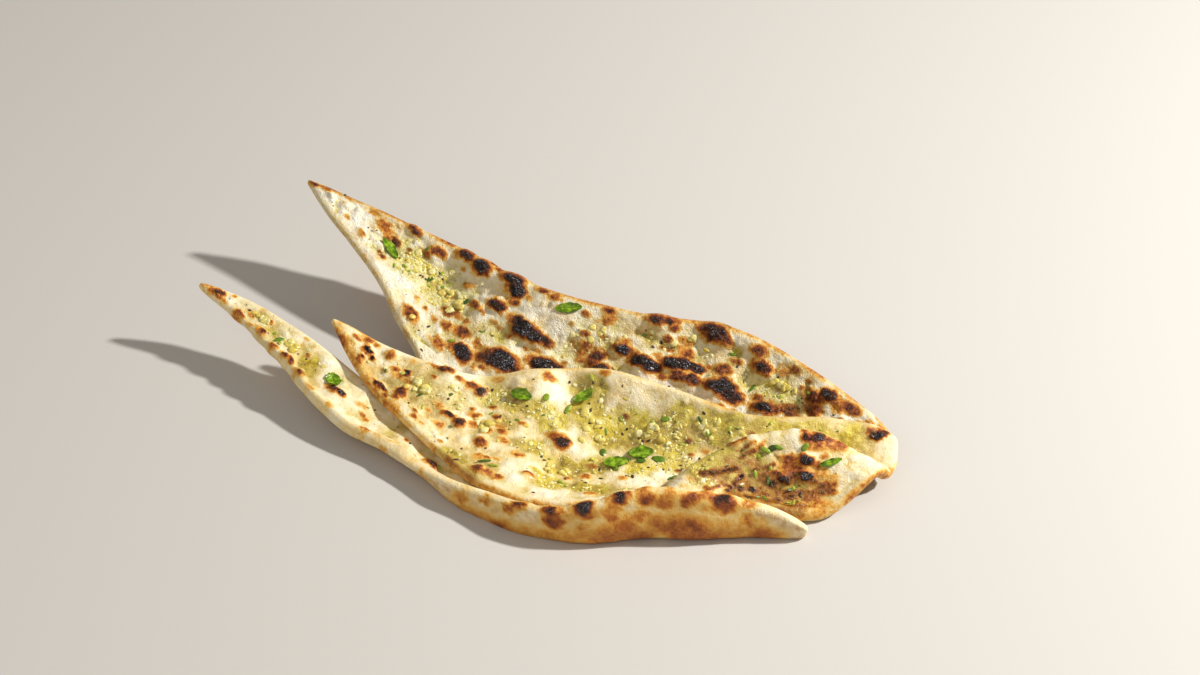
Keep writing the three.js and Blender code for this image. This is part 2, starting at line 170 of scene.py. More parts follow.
back_slice = {
    "side": "back",
    "far": [
        [-112, 96, 42], [-77, 81, 34], [-42, 61, 29], [-5, 34, 27], [38, 15, 27], [80, 5, 26],
        [113, -18, 21], [147, -44, 8],
    ],
    "near": [
        [-113, 93, 41], [-89, 59, 30], [-62, 14, 12], [-42, -30, 2], [8, -31, 1.7], [55, -45, 1.7],
        [98, -58, 2], [143, -55, 4],
    ],
    "sag": [0, 3, 6, 8, 8, 8, 6, 0],
    "crust": {"across": 0, "swell": 1.2, "reach": 0.08, "from": 0},
    "folds": [],
    # along, across, radius, height
    "humps": [
        [0.2, 0.75, 16, 1.6], [0.3, 0.3, 18, -1.8], [0.47, 0.14, 15, 1.6], [0.51, 0.38, 14, -2],
        [0.6, 0.2, 16, 1.4], [0.68, 0.17, 13, -1.8], [0.76, 0.3, 13, -1.6], [0.86, 0.3, 10, -1.5],
    ],
    # along, across, radius: the blisters that stand up most
    "blisters": [
        [0.205, 0.01, 4], [0.255, 0.12, 5], [0.305, 0.02, 5.5], [0.34, 0.04, 6.5], [0.395, 0.01, 8],
        [0.385, 0.19, 4.5], [0.26, 0.86, 6], [0.368, 0.6, 6.5], [0.43, 0.46, 9], [0.437, 0.24, 7],
        [0.46, 0.27, 5], [0.49, 0.42, 6], [0.56, 0.42, 6], [0.575, 0.25, 4.5], [0.605, 0.02, 7],
        [0.612, 0.32, 7], [0.655, 0.29, 6], [0.69, 0.06, 8], [0.673, 0.38, 6.5], [0.73, 0.41, 10],
        [0.722, 0.27, 5], [0.777, 0.16, 5.5], [0.8, 0.43, 6], [0.868, 0.2, 5.5], [0.89, 0.13, 5],
    ],
    # along, across, radius, toast: 0.3 golden, 0.5 brown, 0.8 dark brown, 1 black
    "burns": [
        [0.01, 0.5, 3, 0.66], [0.035, 0.1, 4, 0.55], [0.08, 0.03, 4, 0.4], [0.13, 0.1, 2.8, 0.45],
        [0.155, 0.2, 3.8, 0.5], [0.165, 0.25, 3.2, 0.5], [0.185, 0.31, 2.4, 0.72],
        [0.205, 0.01, 2.8, 0.8], [0.212, 0.05, 2.5, 0.7], [0.255, 0.12, 3, 0.66], [0.266, 0.11, 2.2, 0.7],
        [0.24, 0.2, 2.2, 0.5], [0.305, 0.03, 4.2, 0.98], [0.337, 0.05, 4.8, 0.98], [0.365, 0, 2.6, 0.95],
        [0.392, 0.02, 5.2, 1], [0.402, 0.07, 4.2, 0.96], [0.44, 0.01, 2.8, 0.85], [0.46, 0.03, 3, 0.55],
        [0.385, 0.19, 3.8, 0.92], [0.405, 0.13, 2.8, 0.6], [0.35, 0.28, 2.8, 0.55],
        [0.325, 0.2, 2.6, 0.4], [0.312, 0.47, 3.2, 0.62], [0.329, 0.42, 2.8, 0.5], [0.325, 0.56, 3, 0.55],
        [0.348, 0.5, 3.4, 0.62], [0.358, 0.47, 3, 0.66], [0.385, 0.47, 2.8, 0.4], [0.26, 0.86, 4.6, 0.58],
        [0.325, 0.74, 4, 0.5], [0.368, 0.6, 5.6, 0.98], [0.35, 0.64, 3.6, 0.5], [0.4, 0.52, 3.4, 0.66],
        [0.415, 0.5, 4, 0.8], [0.432, 0.47, 7.8, 1], [0.425, 0.22, 4.2, 0.9], [0.437, 0.25, 5.8, 1],
        [0.457, 0.27, 4.2, 0.98], [0.476, 0.285, 3.2, 0.8], [0.478, 0.42, 4.4, 0.82],
        [0.495, 0.425, 4.6, 0.96], [0.525, 0.26, 2.8, 0.5], [0.545, 0.36, 3.2, 0.62],
        [0.535, 0.02, 2.8, 0.75], [0.54, 0.07, 3.2, 0.4], [0.6, 0.015, 4.6, 0.9],
        [0.622, 0.01, 3.6, 0.86], [0.69, 0.06, 5.6, 0.84], [0.676, 0.03, 4.4, 0.8],
        [0.708, 0.09, 3.4, 0.6], [0.575, 0.25, 3.8, 0.96], [0.575, 0.2, 2.6, 0.45],
        [0.548, 0.32, 3.2, 0.78], [0.56, 0.42, 4.8, 0.84], [0.525, 0.3, 2.6, 0.4], [0.606, 0.31, 4.8, 1],
        [0.622, 0.34, 4.6, 0.98], [0.648, 0.29, 4.2, 0.98], [0.662, 0.28, 4.2, 0.98],
        [0.68, 0.29, 3.4, 0.92], [0.66, 0.2, 3, 0.55], [0.655, 0.13, 3.2, 0.45], [0.664, 0.38, 4.2, 0.68],
        [0.684, 0.385, 4.2, 0.72], [0.722, 0.27, 4, 0.66], [0.715, 0.4, 4.6, 0.82], [0.733, 0.4, 6.6, 1],
        [0.745, 0.43, 5.6, 0.9], [0.735, 0.19, 2.4, 0.45], [0.777, 0.16, 4.2, 0.84],
        [0.765, 0.07, 4.2, 0.6], [0.815, 0.12, 2.8, 0.35], [0.83, 0.07, 2.6, 0.5],
        [0.787, 0.37, 2.6, 0.5], [0.797, 0.44, 4.4, 0.92], [0.813, 0.41, 3.6, 0.6],
        [0.835, 0.38, 3.8, 0.66], [0.868, 0.2, 4.6, 0.66], [0.89, 0.13, 3.8, 0.84], [0.87, 0.3, 4.2, 0.6],
        [0.925, 0.13, 4, 0.66], [0.905, 0.16, 4.6, 0.4], [0.955, 0.3, 3.4, 0.7], [0.97, 0.3, 3.2, 0.7],
    ],
    # along, across, radius, strength of soaked garlic butter
    "butter": [
        [0.17, 0.58, 9, 0.6], [0.22, 0.42, 12, 0.9], [0.29, 0.36, 13, 0.9], [0.34, 0.27, 8, 0.4],
        [0.37, 0.4, 9, 0.25], [0.45, 0.55, 8, 0.3], [0.53, 0.2, 12, 0.5], [0.5, 0.34, 10, 0.35],
        [0.64, 0.16, 10, 0.3], [0.74, 0.3, 9, 0.4], [0.78, 0.27, 9, 0.7], [0.83, 0.28, 8, 0.75],
        [0.42, 0.33, 8, 0.25], [0.58, 0.38, 7, 0.3], [0.09, 0.55, 10, 0.2], [0.24, 0.78, 10, 0.3],
        [0.3, 0.86, 8, 0.25], [0.35, 0.8, 8, 0.25], [0.4, 0.75, 8, 0.2],
    ],
    # which edge (0 far, 1 near), from, to, toast, reach in mm
    "browned_edges": [[0, 0.0, 0.42, 0.5, 1.7], [0, 0.42, 1.0, 0.4, 1.8], [1, 0.0, 0.4, 0.16, 1.6]],
    # from along, across, to along, across, depth, half width: pleats and cracks
    "creases": [
        [0.855, 0.12, 0.872, 0.39, 1.3, 1.7], [0.3, 0.89, 0.334, 0.79, 1.2, 0.6],
        [0.7, 0.02, 0.735, 0.14, 0.8, 2], [0.585, 0.12, 0.64, 0.2, 1, 1.8],
    ],
    # along from, along to, how many
    "freckles": [[0.05, 0.35, 16], [0.35, 0.97, 96], [0.38, 0.56, 40]],
    "unevenness": 1.0,
    # along, across, spread along, spread across, pieces
    "garlic": [
        [0.24, 0.32, 0.03, 0.1, 10], [0.31, 0.37, 0.03, 0.1, 9], [0.2, 0.55, 0.03, 0.12, 5],
        [0.53, 0.2, 0.03, 0.08, 8], [0.82, 0.22, 0.03, 0.07, 6], [0.68, 0.14, 0.06, 0.06, 4],
    ],
    "small_bubbles": 300,
    "seed": 11,
}


def guide_line(points, share):
    """A smooth curve through the points, one step for each, at shares from 0 to 1."""
    points = np.asarray(points, float)
    padded = np.vstack([2 * points[0] - points[1], points, 2 * points[-1] - points[-2]])
    place = np.clip(share, 0, 1) * (len(points) - 1)
    step = np.minimum(place.astype(int), len(points) - 2)
    t = (place - step)[..., None]
    a, b, c, d = (padded[step + k] for k in range(4))
    cubic = (3 * b - 3 * c + d - a) * t**3
    square = (2 * a - 5 * b + 4 * c - d) * t**2
    return 0.5 * (2 * b + (c - a) * t + square + cubic)


def belly_of(piece):
    """The line under the middle of a sagging slice, or the one that the slice names."""
    if "belly" in piece:
        return piece["belly"]
    far, near = np.array(piece["far"], float), np.array(piece["near"], float)
    belly = (far + near) / 2
    belly[:, 2] -= 2 * np.array(piece["sag"], float)
    return belly


def fold_lift(fold, x, y):
    """How high a fold lifts the sheet: a bowed crest with a long front slope and a short back."""
    (x0, y0), (x1, y1) = fold["from"], fold["to"]
    t = np.clip((x - x0) / (x1 - x0), 0, 1)
    arch = 4 * t * (1 - t)
    distance = y - (y0 + (y1 - y0) * t + fold["bow"] * arch)
    reach = np.where(distance > 0, fold["back"], fold["front"])
    slope = (np.sqrt(distance**2 + fold["rounding"] ** 2) - fold["rounding"]) / reach
    return fold["height"] * np.sqrt(arch) * np.clip(1 - slope, 0, 1) ** FOLD_POWER


def middle(piece, along, across):
    """The middle of the dough, in mm, before waves and blisters."""
    along, across = np.broadcast_arrays(np.asarray(along, float), np.asarray(across, float))
    far, belly, near = (guide_line(g, along) for g in (piece["far"], belly_of(piece), piece["near"]))
    w = across[..., None]
    point = far * (1 - w) ** 2 + belly * 2 * w * (1 - w) + near * w**2
    for fold in piece["folds"]:
        point[..., 2] += fold_lift(fold, point[..., 0], point[..., 1])
    return point


def unit(vectors):
    """The vectors at length 1."""
    return vectors / np.linalg.norm(vectors, axis=-1, keepdims=True)


def directions(piece, along, across):
    """The directions along and across the sheet, for each unit of those shares, and its normal."""
    step = 0.004
    before, after = np.clip(along - step, 0, 1), np.clip(along + step, 0, 1)
    lengthwise = middle(piece, after, across) - middle(piece, before, across)
    lengthwise /= (after - before)[..., None]
    crosswise = (middle(piece, along, across + step) - middle(piece, along, across - step)) / (2 * step)
    return lengthwise, crosswise, unit(np.cross(crosswise, lengthwise))


def waves(point):
    """The long and short waves of the whole sheet, the same as in its solid."""
    x, y = point[..., 0], point[..., 1]
    slow = np.sin(x / 13 + y / 21) * np.cos(y / 11 - x / 37)
    return WAVE_HEIGHT * (0.7 * slow + 0.3 * np.sin(x / 6.1 - y / 7.3))


def dome(distance, radius):
    """A smooth swelling, 1 at its middle and 0 from its radius outward."""
    return np.clip(1 - (distance / radius) ** 2, 0, None) ** 2


def smooth_step(share):
    """A share from 0 to 1 that starts and ends gently."""
    share = np.clip(share, 0, 1)
    return share * share * (3 - 2 * share)


def noise(point, size, seed):
    """Smooth repeatable noise from -1 to 1 over points in mm, with features of that size.

    What is added to a slice's seed in a call only keeps its noises apart from each other.
    """
    place = point / size + seed * NOISE_SHIFT
    cell = np.floor(place).astype(np.int64)
    t = smooth_step(place - cell)
    total = np.zeros(point.shape[:-1])
    for corner in np.ndindex(2, 2, 2):
        x, y, z = np.moveaxis((cell + corner) * CELL_PRIMES, -1, 0)
        mixed = x ^ y ^ z
        mixed = (mixed ^ (mixed >> 13)) * MIXING_PRIME
        value = ((mixed >> 7) & 65535) / 32767.5 - 1
        total += value * np.prod(np.where(corner, t, 1 - t), axis=-1)
    return total


def rough_noise(point, size, seed):
    """Three layers of noise, each about half as large and half as strong as the one before."""
    layers = ((1, 1), (0.5, 2.1), (0.25, 4.3))
    total = sum(share * noise(point, size / finer, seed + k) for k, (share, finer) in enumerate(layers))
    return total / 1.75


def uneven(point, level, change, size, seed):
    """A value that wanders about a level, by noise with features of that size in mm."""
    return level + change * rough_noise(point, size, seed)


def width_at(piece, along):
    """The width of the sheet in mm, measured over its sag."""
    marks = np.stack([middle(piece, along, np.full_like(along, w)) for w in (0, 0.25, 0.5, 0.75, 1)])
    return np.linalg.norm(np.diff(marks, axis=0), axis=-1).sum(0)


def length_of(piece):
    """The length of a slice in mm, measured along its middle line."""
    line = guide_line(belly_of(piece), np.linspace(0, 1, 201))
    return float(np.linalg.norm(np.diff(line, axis=0), axis=1).sum())


def dough(piece, along, across):
    """The dough at each place: its middle, its normal, half its thickness up and down."""
    width = width_at(piece, along)
    end_distance = np.minimum(along, 1 - along) * piece["length"]
    taper = np.clip(end_distance / END_LENGTH, 0, 1)
    drawn_in = END_WIDTH_SHARE + (1 - END_WIDTH_SHARE) * np.sqrt(taper * (2 - taper))
    place = 0.5 + (across - 0.5) * drawn_in
    side_distance = (across * width * drawn_in, (1 - across) * width * drawn_in)
    edge_distance = np.minimum(np.minimum(*side_distance), end_distance)
    rim = np.clip(edge_distance / RIM_RADIUS, 0, 1)
    rounding = np.sqrt(rim * (2 - rim))

    sheet_point = middle(piece, along, place)
    _, crosswise, normal = directions(piece, along, place)
    blister = np.zeros(sheet_point.shape[:-1])
    for (_, _, radius), centre in zip(piece["blisters"], centres_of(piece, piece["blisters"])):
        distance = np.linalg.norm(sheet_point - centre, axis=-1)
        blister = np.maximum(blister, BLISTER_RISE * radius * dome(distance, BLISTER_FOOT * radius))
    lift = waves(sheet_point)
    for (_, _, radius, height), centre in zip(piece["humps"], centres_of(piece, piece["humps"])):
        distance = np.linalg.norm(sheet_point - centre, axis=-1)
        lift = lift + height * dome(distance, HUMP_FOOT * radius)
    crust = piece["crust"]
    crust_share = np.exp(-(((across - crust["across"]) / crust["reach"]) ** 2)) * (along >= crust["from"])
    half = (DOUGH_THICKNESS + crust["swell"] * crust_share) / 2

    outward = unit(crosswise) * np.sign(across - 0.5)[..., None]
    near_rim = (2 * np.abs(across - 0.5)) ** 8
    point = sheet_point + outward * (RIM_BULGE * blister * near_rim)[..., None]
    point = point + normal * lift[..., None]
    return {
        "along": along, "sheet_point": sheet_point, "point": point, "normal": normal, "rim": rim,
        "above": (half + blister) * rounding, "below": half * rounding,
        "edge_distance": edge_distance, "side_distance": side_distance,
    }


def rimmed_marks(length, count):
    """Shares from 0 to 1: rows close together at both rims, and even between them."""
    rim = np.minimum(RIM_RADIUS / np.asarray(length, float), 0.3)[..., None]
    start = rim * np.array(RIM_STEPS)
    inner = rim + (1 - 2 * rim) * np.linspace(0, 1, count)
    return np.concatenate([start, inner, 1 - start[..., ::-1]], axis=-1)


def around(points, centre, reach):
    """The places in a list of points that lie in a box around a centre."""
    return np.flatnonzero(np.all(np.abs(points - centre) < reach, axis=-1))


def centres_of(piece, spots):
    """The middle of the dough at each spot of a list that starts with along and across."""
    along, across = (np.array([spot[k] for spot in spots], float) for k in (0, 1))
    return middle(piece, along, across)


def stray(point, seed):
    """How far the outline of a spot strays at each point, in mm: slowly, and in small teeth."""
    return np.stack([1.5 * rough_noise(point, 5.0, seed + k) + 1.1 * rough_noise(point, 1.9, seed + 4 + k)
                     for k in range(3)], axis=-1)


def spot_field(piece, strayed, spots, core, fade, shift=0.0):
    """How strongly each strayed point is covered by long spots, given as for the burns.

    A spot is even over a core, given as a share of its radius, and fades out past its radius.
    """
    warped = strayed.reshape(-1, 3)
    field = np.zeros(len(warped))
    along, across, radii, strengths = np.array(spots, float).T
    lengthwise, _, normals = directions(piece, along, across)
    lengthwise = unit(lengthwise)
    sideways = np.cross(normals, lengthwise)
    centres = middle(piece, along, across) + shift * radii[:, None] * DARK_SIDE
    for centre, forward, side, normal, radius, strength in zip(
            centres, lengthwise, sideways, normals, radii, strengths):
        near = around(warped, centre, SPOT_STRETCH * (radius + fade))
        offset = warped[near] - centre
        a, b = offset @ forward / SPOT_STRETCH, offset @ side / SPOT_SQUEEZE
        distance = np.sqrt(a * a + b * b + (offset @ normal) ** 2)
        outward = (distance - core * radius) / ((1 - core) * radius + fade)
        field[near] = np.maximum(field[near], strength * (1 - smooth_step(outward)))
    return field.reshape(strayed.shape[:-1])


def line_field(piece, point, lines):
    """How strongly each point lies on lines, given by both ends, strength and half width."""
    field = np.zeros(point.shape[:-1])
    for along_0, across_0, along_1, across_1, strength, half_width in lines:
        start, end = middle(piece, np.array([along_0, along_1]), np.array([across_0, across_1]))
        share = np.clip((point - start) @ (end - start) / np.sum((end - start) ** 2), 0, 1)
        distance = np.linalg.norm(point - start - share[..., None] * (end - start), axis=-1)
        field = np.maximum(field, strength * np.exp(-((distance / half_width) ** 2)))
    return field


def toast_field(piece, point, strays):
    """Burnt spots with a dark core on one side and a wider golden brown halo on the other."""
    seed = piece["seed"]
    cores = spot_field(piece, point + strays, piece["burns"], core=0.42, fade=1.2, shift=0.2)
    cores = np.maximum(cores, line_field(piece, point + 0.7 * strays, piece.get("streaks", [])))
    cores *= uneven(point, level=0.96, change=0.24, size=2.2, seed=seed + 32)
    other_way = 1.2 * strays[..., [1, 2, 0]]
    halo = spot_field(piece, point + other_way, piece["burns"], core=0.2, fade=2.0, shift=-0.34)
    halo *= uneven(point, level=0.52, change=0.36, size=3.0, seed=seed + 33)
    freckles = spot_field(piece, point + 0.6 * strays, piece["freckle_spots"], core=0.3, fade=1.0)
    baked = 0.18 * piece["unevenness"] * np.clip(rough_noise(point, 9.0, seed + 34) + 0.3, 0, 1)
    return np.maximum.reduce([cores, halo, freckles, baked])


def browned_edge_field(piece, place):
    """The golden to brown band along the edges that lay against the hot wall or were cut through."""
    field = np.zeros(place["along"].shape)
    point, seed = place["sheet_point"], piece["seed"]
    patchy = np.clip(uneven(point, level=0.8, change=0.9, size=6.0, seed=seed + 12), 0.1, 1.3)
    for side, start, end, toast, reach in piece["browned_edges"]:
        within = smooth_step((place["along"] - start) / BAND_FADE + 0.5)
        within *= smooth_step((end - place["along"]) / BAND_FADE + 0.5)
        falling = np.exp(-((place["side_distance"][side] / reach) ** 1.6))
        field = np.maximum(field, toast * patchy * within * falling)
    return field


def draw_marks(piece):
    """The fine bubbles, freckles and patches of one slice, drawn once for the slice."""
    random = np.random.default_rng(piece["seed"])
    count = piece["small_bubbles"]
    piece["bubbles"] = np.stack([
        random.uniform(0.02, 0.98, count), random.uniform(0.03, 0.97, count),
        random.uniform(1.5, 4.4, count), random.uniform(0.2, 0.75, count),
    ], axis=-1)
    piece["freckle_spots"] = [
        [random.uniform(start, end), random.uniform(0.04, 0.96), random.uniform(0.7, 2.1),
         random.uniform(0.22, 0.62)]
        for start, end, count in piece["freckles"] for _ in range(count)
    ]
    piece["under_patches"] = piece.get("under_spots", []) + [
        [random.uniform(0.02, 0.98), random.uniform(0.05, 0.95), random.uniform(2.5, 7.0),
         random.uniform(0.14, 0.36)]
        for _ in range(int(piece["length"] / 5))
    ]


def top_surface(piece, along, across):
    """The finished top of the dough with its browning and butter, at any places on the slice."""
    place = dough(piece, along, across)
    point, rim = place["sheet_point"], place["rim"]
    seed = piece["seed"]
    strays = stray(point, seed + 2)
    toast = toast_field(piece, point, strays) * (0.45 + 0.55 * smooth_step(rim))
    char = smooth_step((toast - CHAR_FROM) / CHAR_RANGE)
    settled = smooth_step(place["edge_distance"] / CALM_EDGE)

    finer = 0.8 * rough_noise(point, 5.2, seed + 5) + 0.36 * rough_noise(point, 2.4, seed + 6)
    relief = 1.25 * rough_noise(point, 12.0, seed) + piece["unevenness"] * finer
    relief -= line_field(piece, point, piece.get("creases", []))
    bubbles = np.zeros(point.size // 3)
    for (_, _, radius, height), centre in zip(piece["bubbles"], centres_of(piece, piece["bubbles"])):
        near = around(point.reshape(-1, 3), centre, radius)
        distance = np.linalg.norm(point.reshape(-1, 3)[near] - centre, axis=-1)
        bubbles[near] += height * dome(distance, radius)
    relief += (0.4 + piece["unevenness"]) * bubbles.reshape(rim.shape) + 1.0 * np.clip(toast, 0, 0.5)
    cinders = np.abs(noise(point, 2.6, seed + 9)) + 0.6 * np.abs(noise(point, 1.7, seed + 10))
    relief += char * CINDER_HEIGHT * (cinders - 0.3)
    relief *= 0.25 + 0.75 * settled

    butter = spot_field(piece, point + strays, piece["butter"], core=0.4, fade=4.0)
    butter = np.maximum(butter, line_field(piece, point + strays, piece.get("ripples", [])))
    # More butter in the hollows of the relief: partly butter that pooled there, partly painted shade,
    # since the soaked colour is darker and yellower.
    butter = np.clip(butter - 0.25 * (relief - 0.3), 0, 1)
    browned = np.maximum(toast, browned_edge_field(piece, place))
    top = place["point"] + place["normal"] * (place["above"] + relief * rim)[..., None]
    top[..., 2] = np.maximum(top[..., 2], 0.0)
    return {**place, "top": top, "toast": toast, "browned": browned, "butter": butter, "relief": relief}


def mesh_from_arrays(name, vertices, faces):
    """A smooth mesh from arrays of points and of faces that all have as many corners."""
    mesh = bpy.data.meshes.new(name)
    mesh.vertices.add(len(vertices))
    mesh.vertices.foreach_set("co", vertices.astype(np.float32).ravel())
    mesh.loops.add(faces.size)
    mesh.loops.foreach_set("vertex_index", faces.astype(np.int32).ravel())
    mesh.polygons.add(len(faces))
    mesh.polygons.foreach_set("loop_start", np.arange(0, faces.size, faces.shape[1], dtype=np.int32))
    mesh.update(calc_edges=True)
    mesh.polygons.foreach_set("use_smooth", np.ones(len(faces), bool))
    return mesh


def point_values(mesh, key, data):
    """Keeps one number at each point of a mesh, for its material to read."""
    layer = mesh.attributes.new(key, "FLOAT", "POINT")
    layer.data.foreach_set("value", data.astype(np.float32))


def sheet_mesh(name, top, under, values):
    """A closed mesh from two grids of points that meet at their outer rows."""
    columns, rows = top.shape[:2]
    top_index = np.arange(columns * rows).reshape(columns, rows)
    under_index = top_index.copy()
    inner = (slice(1, -1), slice(1, -1))
    under_count = (columns - 2) * (rows - 2)
    under_index[inner] = columns * rows + np.arange(under_count).reshape(columns - 2, rows - 2)
    vertices = np.concatenate([top.reshape(-1, 3), under[inner].reshape(-1, 3)])
    vertices = np.clip((vertices + SHIFT_TO_MIDDLE) * MM, *cad_box)
    faces = []
    for index, upward in ((top_index, True), (under_index, False)):
        corners = [index[:-1, :-1], index[:-1, 1:], index[1:, 1:], index[1:, :-1]]
        faces.append(np.stack([c.ravel() for c in (corners if upward else corners[::-1])], axis=-1))
    mesh = mesh_from_arrays(name, vertices, np.concatenate(faces))
    for key, (over, below) in values.items():
        point_values(mesh, key, np.concatenate([over.ravel(), below[inner].ravel()]))
    return mesh


def place_object(mesh, material, node=None):
    """Puts a finished mesh on the body, and in the place of its solid where it has one."""
    obj = bpy.data.objects.new(mesh.name, mesh)
    bpy.context.scene.collection.objects.link(obj)
    mesh.materials.append(material)
    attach(obj, "root")
    if node:
        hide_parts(node)


def underside(piece, face):
    """The lower face with its browning: floury crust, spotted brown and darker inside the rim."""
    point, rim, seed = face["sheet_point"], face["rim"], piece["seed"]
    grain = 0.22 * rough_noise(point, 4.2, seed + 7)
    under = face["point"] - face["normal"] * (face["below"] + grain * rim)[..., None]
    under[..., 2] = np.maximum(under[..., 2], 0.0)
    strays = 1.6 * stray(point, seed + 4)
    patches = spot_field(piece, point + strays, piece["under_patches"], core=0.3, fade=1.8)
    patches *= uneven(point, level=0.85, change=0.55, size=3.2, seed=seed + 8)
    inside = smooth_step((face["edge_distance"] - BAKED_FROM) / BAKED_RANGE)
    inside *= np.clip(uneven(point, level=0.36, change=0.34, size=7.0, seed=seed + 13), 0.05, 0.6)
    return under, np.maximum(patches, inside)


def slice_mesh(piece):
    """The fine mesh of one slice, with its browning and its butter kept at every point."""
    piece["length"] = length_of(piece)
    draw_marks(piece)
    along_line = rimmed_marks(piece["length"], int(piece["length"] / GRID_STEP))
    widths = width_at(piece, along_line)
    across = rimmed_marks(widths, int(widths.max() / GRID_STEP))
    along = np.repeat(along_line[:, None], across.shape[1], axis=1)
    face = top_surface(piece, along, across)
    under, baked_under = underside(piece, face)
    edge = np.exp(-((face["edge_distance"] / EDGE_REACH) ** 2))
    nothing = np.zeros_like(edge)
    return sheet_mesh("naan_slice_" + piece["side"], face["top"], under, {
        "toast": (face["browned"], np.maximum(baked_under, face["browned"] * edge)),
        "butter": (face["butter"], nothing),
        "underside": (nothing, smooth_step(face["rim"])),
        "cut": (edge, edge),
        "relief": (face["relief"], nothing),
    })


def group_tree(name, inputs, outputs):
    """An empty shader node group with named sockets, given as name and value or kind."""
    tree = bpy.data.node_groups.new(name, "ShaderNodeTree")
    for title, value in inputs.items():
        socket = tree.interface.new_socket(title, in_out="INPUT", socket_type="NodeSocketFloat")
        socket.default_value = value
    for title, kind in outputs.items():
        tree.interface.new_socket(title, in_out="OUTPUT", socket_type=kind)
    return tree, tree.nodes.new("NodeGroupInput").outputs, tree.nodes.new("NodeGroupOutput").inputs


def ramp_node(tree, factor, stops):
    """Colours along a factor. A stop is a position with its red, green and blue, 0 to 255."""
    node = tree.nodes.new("ShaderNodeValToRGB")
    stretch = node.color_ramp.elements
    stretch.remove(stretch[-1])
    stretch[0].position = stops[0][0]
    for position, *_ in stops[1:]:
        stretch.new(position)
    for element, (_, *screen) in zip(stretch, stops):
        element.color = srgb(*screen)
    tree.links.new(factor, node.inputs["Fac"])
    return node.outputs["Color"]


def feed(tree, socket, value):
    """Links another socket to this one, or gives it a plain value."""
    if isinstance(value, bpy.types.NodeSocket):
        tree.links.new(value, socket)
    else:
        socket.default_value = value


def place_group(tree, group, values):
    """The outputs of a node group that is placed in a material with its own values."""
    node = tree.nodes.new("ShaderNodeGroup")
    node.node_tree = group
    for title, value in values.items():
        feed(tree, node.inputs[title], value)
    return node.outputs


def math_node(tree, operation, first, second, clamp=False):
    """Sum, difference or product of two sockets or plain numbers."""
    node = tree.nodes.new("ShaderNodeMath")
    node.operation = operation
    node.use_clamp = clamp
    for socket, value in zip(node.inputs, (first, second)):
        feed(tree, socket, value)
    return node.outputs[0]


def mix_colours(tree, share, first, second):
    """The first colour, covered by the second to the share given."""
    node = tree.nodes.new("ShaderNodeMix")
    node.data_type = "RGBA"
    colour_inputs = [s for s in node.inputs if s.type == "RGBA"]
    for socket, value in zip((node.inputs["Factor"], *colour_inputs), (share, first, second)):
        feed(tree, socket, value)
    return next(s for s in node.outputs if s.type == "RGBA")


def noise_node(tree, scale, detail=3.0, roughness=0.55):
    """Noise fixed to the object, with that many features in a metre."""
    node = tree.nodes.new("ShaderNodeTexNoise")
    feed(tree, node.inputs["Scale"], scale)
    node.inputs["Detail"].default_value = detail
    node.inputs["Roughness"].default_value = roughness
    place = tree.nodes.new("ShaderNodeTexCoord").outputs["Object"]
    tree.links.new(place, node.inputs["Vector"])
    return node.outputs["Fac"]


def value_reader(tree, key):
    """A number that the mesh keeps at each point."""
    reader = tree.nodes.new("ShaderNodeAttribute")
    reader.attribute_name = key
    return reader.outputs["Fac"]


def bump_into(tree, shader, height, strength, depth_mm):
    """Fine relief in the shading only, too small for the mesh."""
    bump = tree.nodes.new("ShaderNodeBump")
    bump.inputs["Strength"].default_value = strength
    bump.inputs["Distance"].default_value = depth_mm * MM
    tree.links.new(height, bump.inputs["Height"])
    tree.links.new(bump.outputs["Normal"], shader.inputs["Normal"])


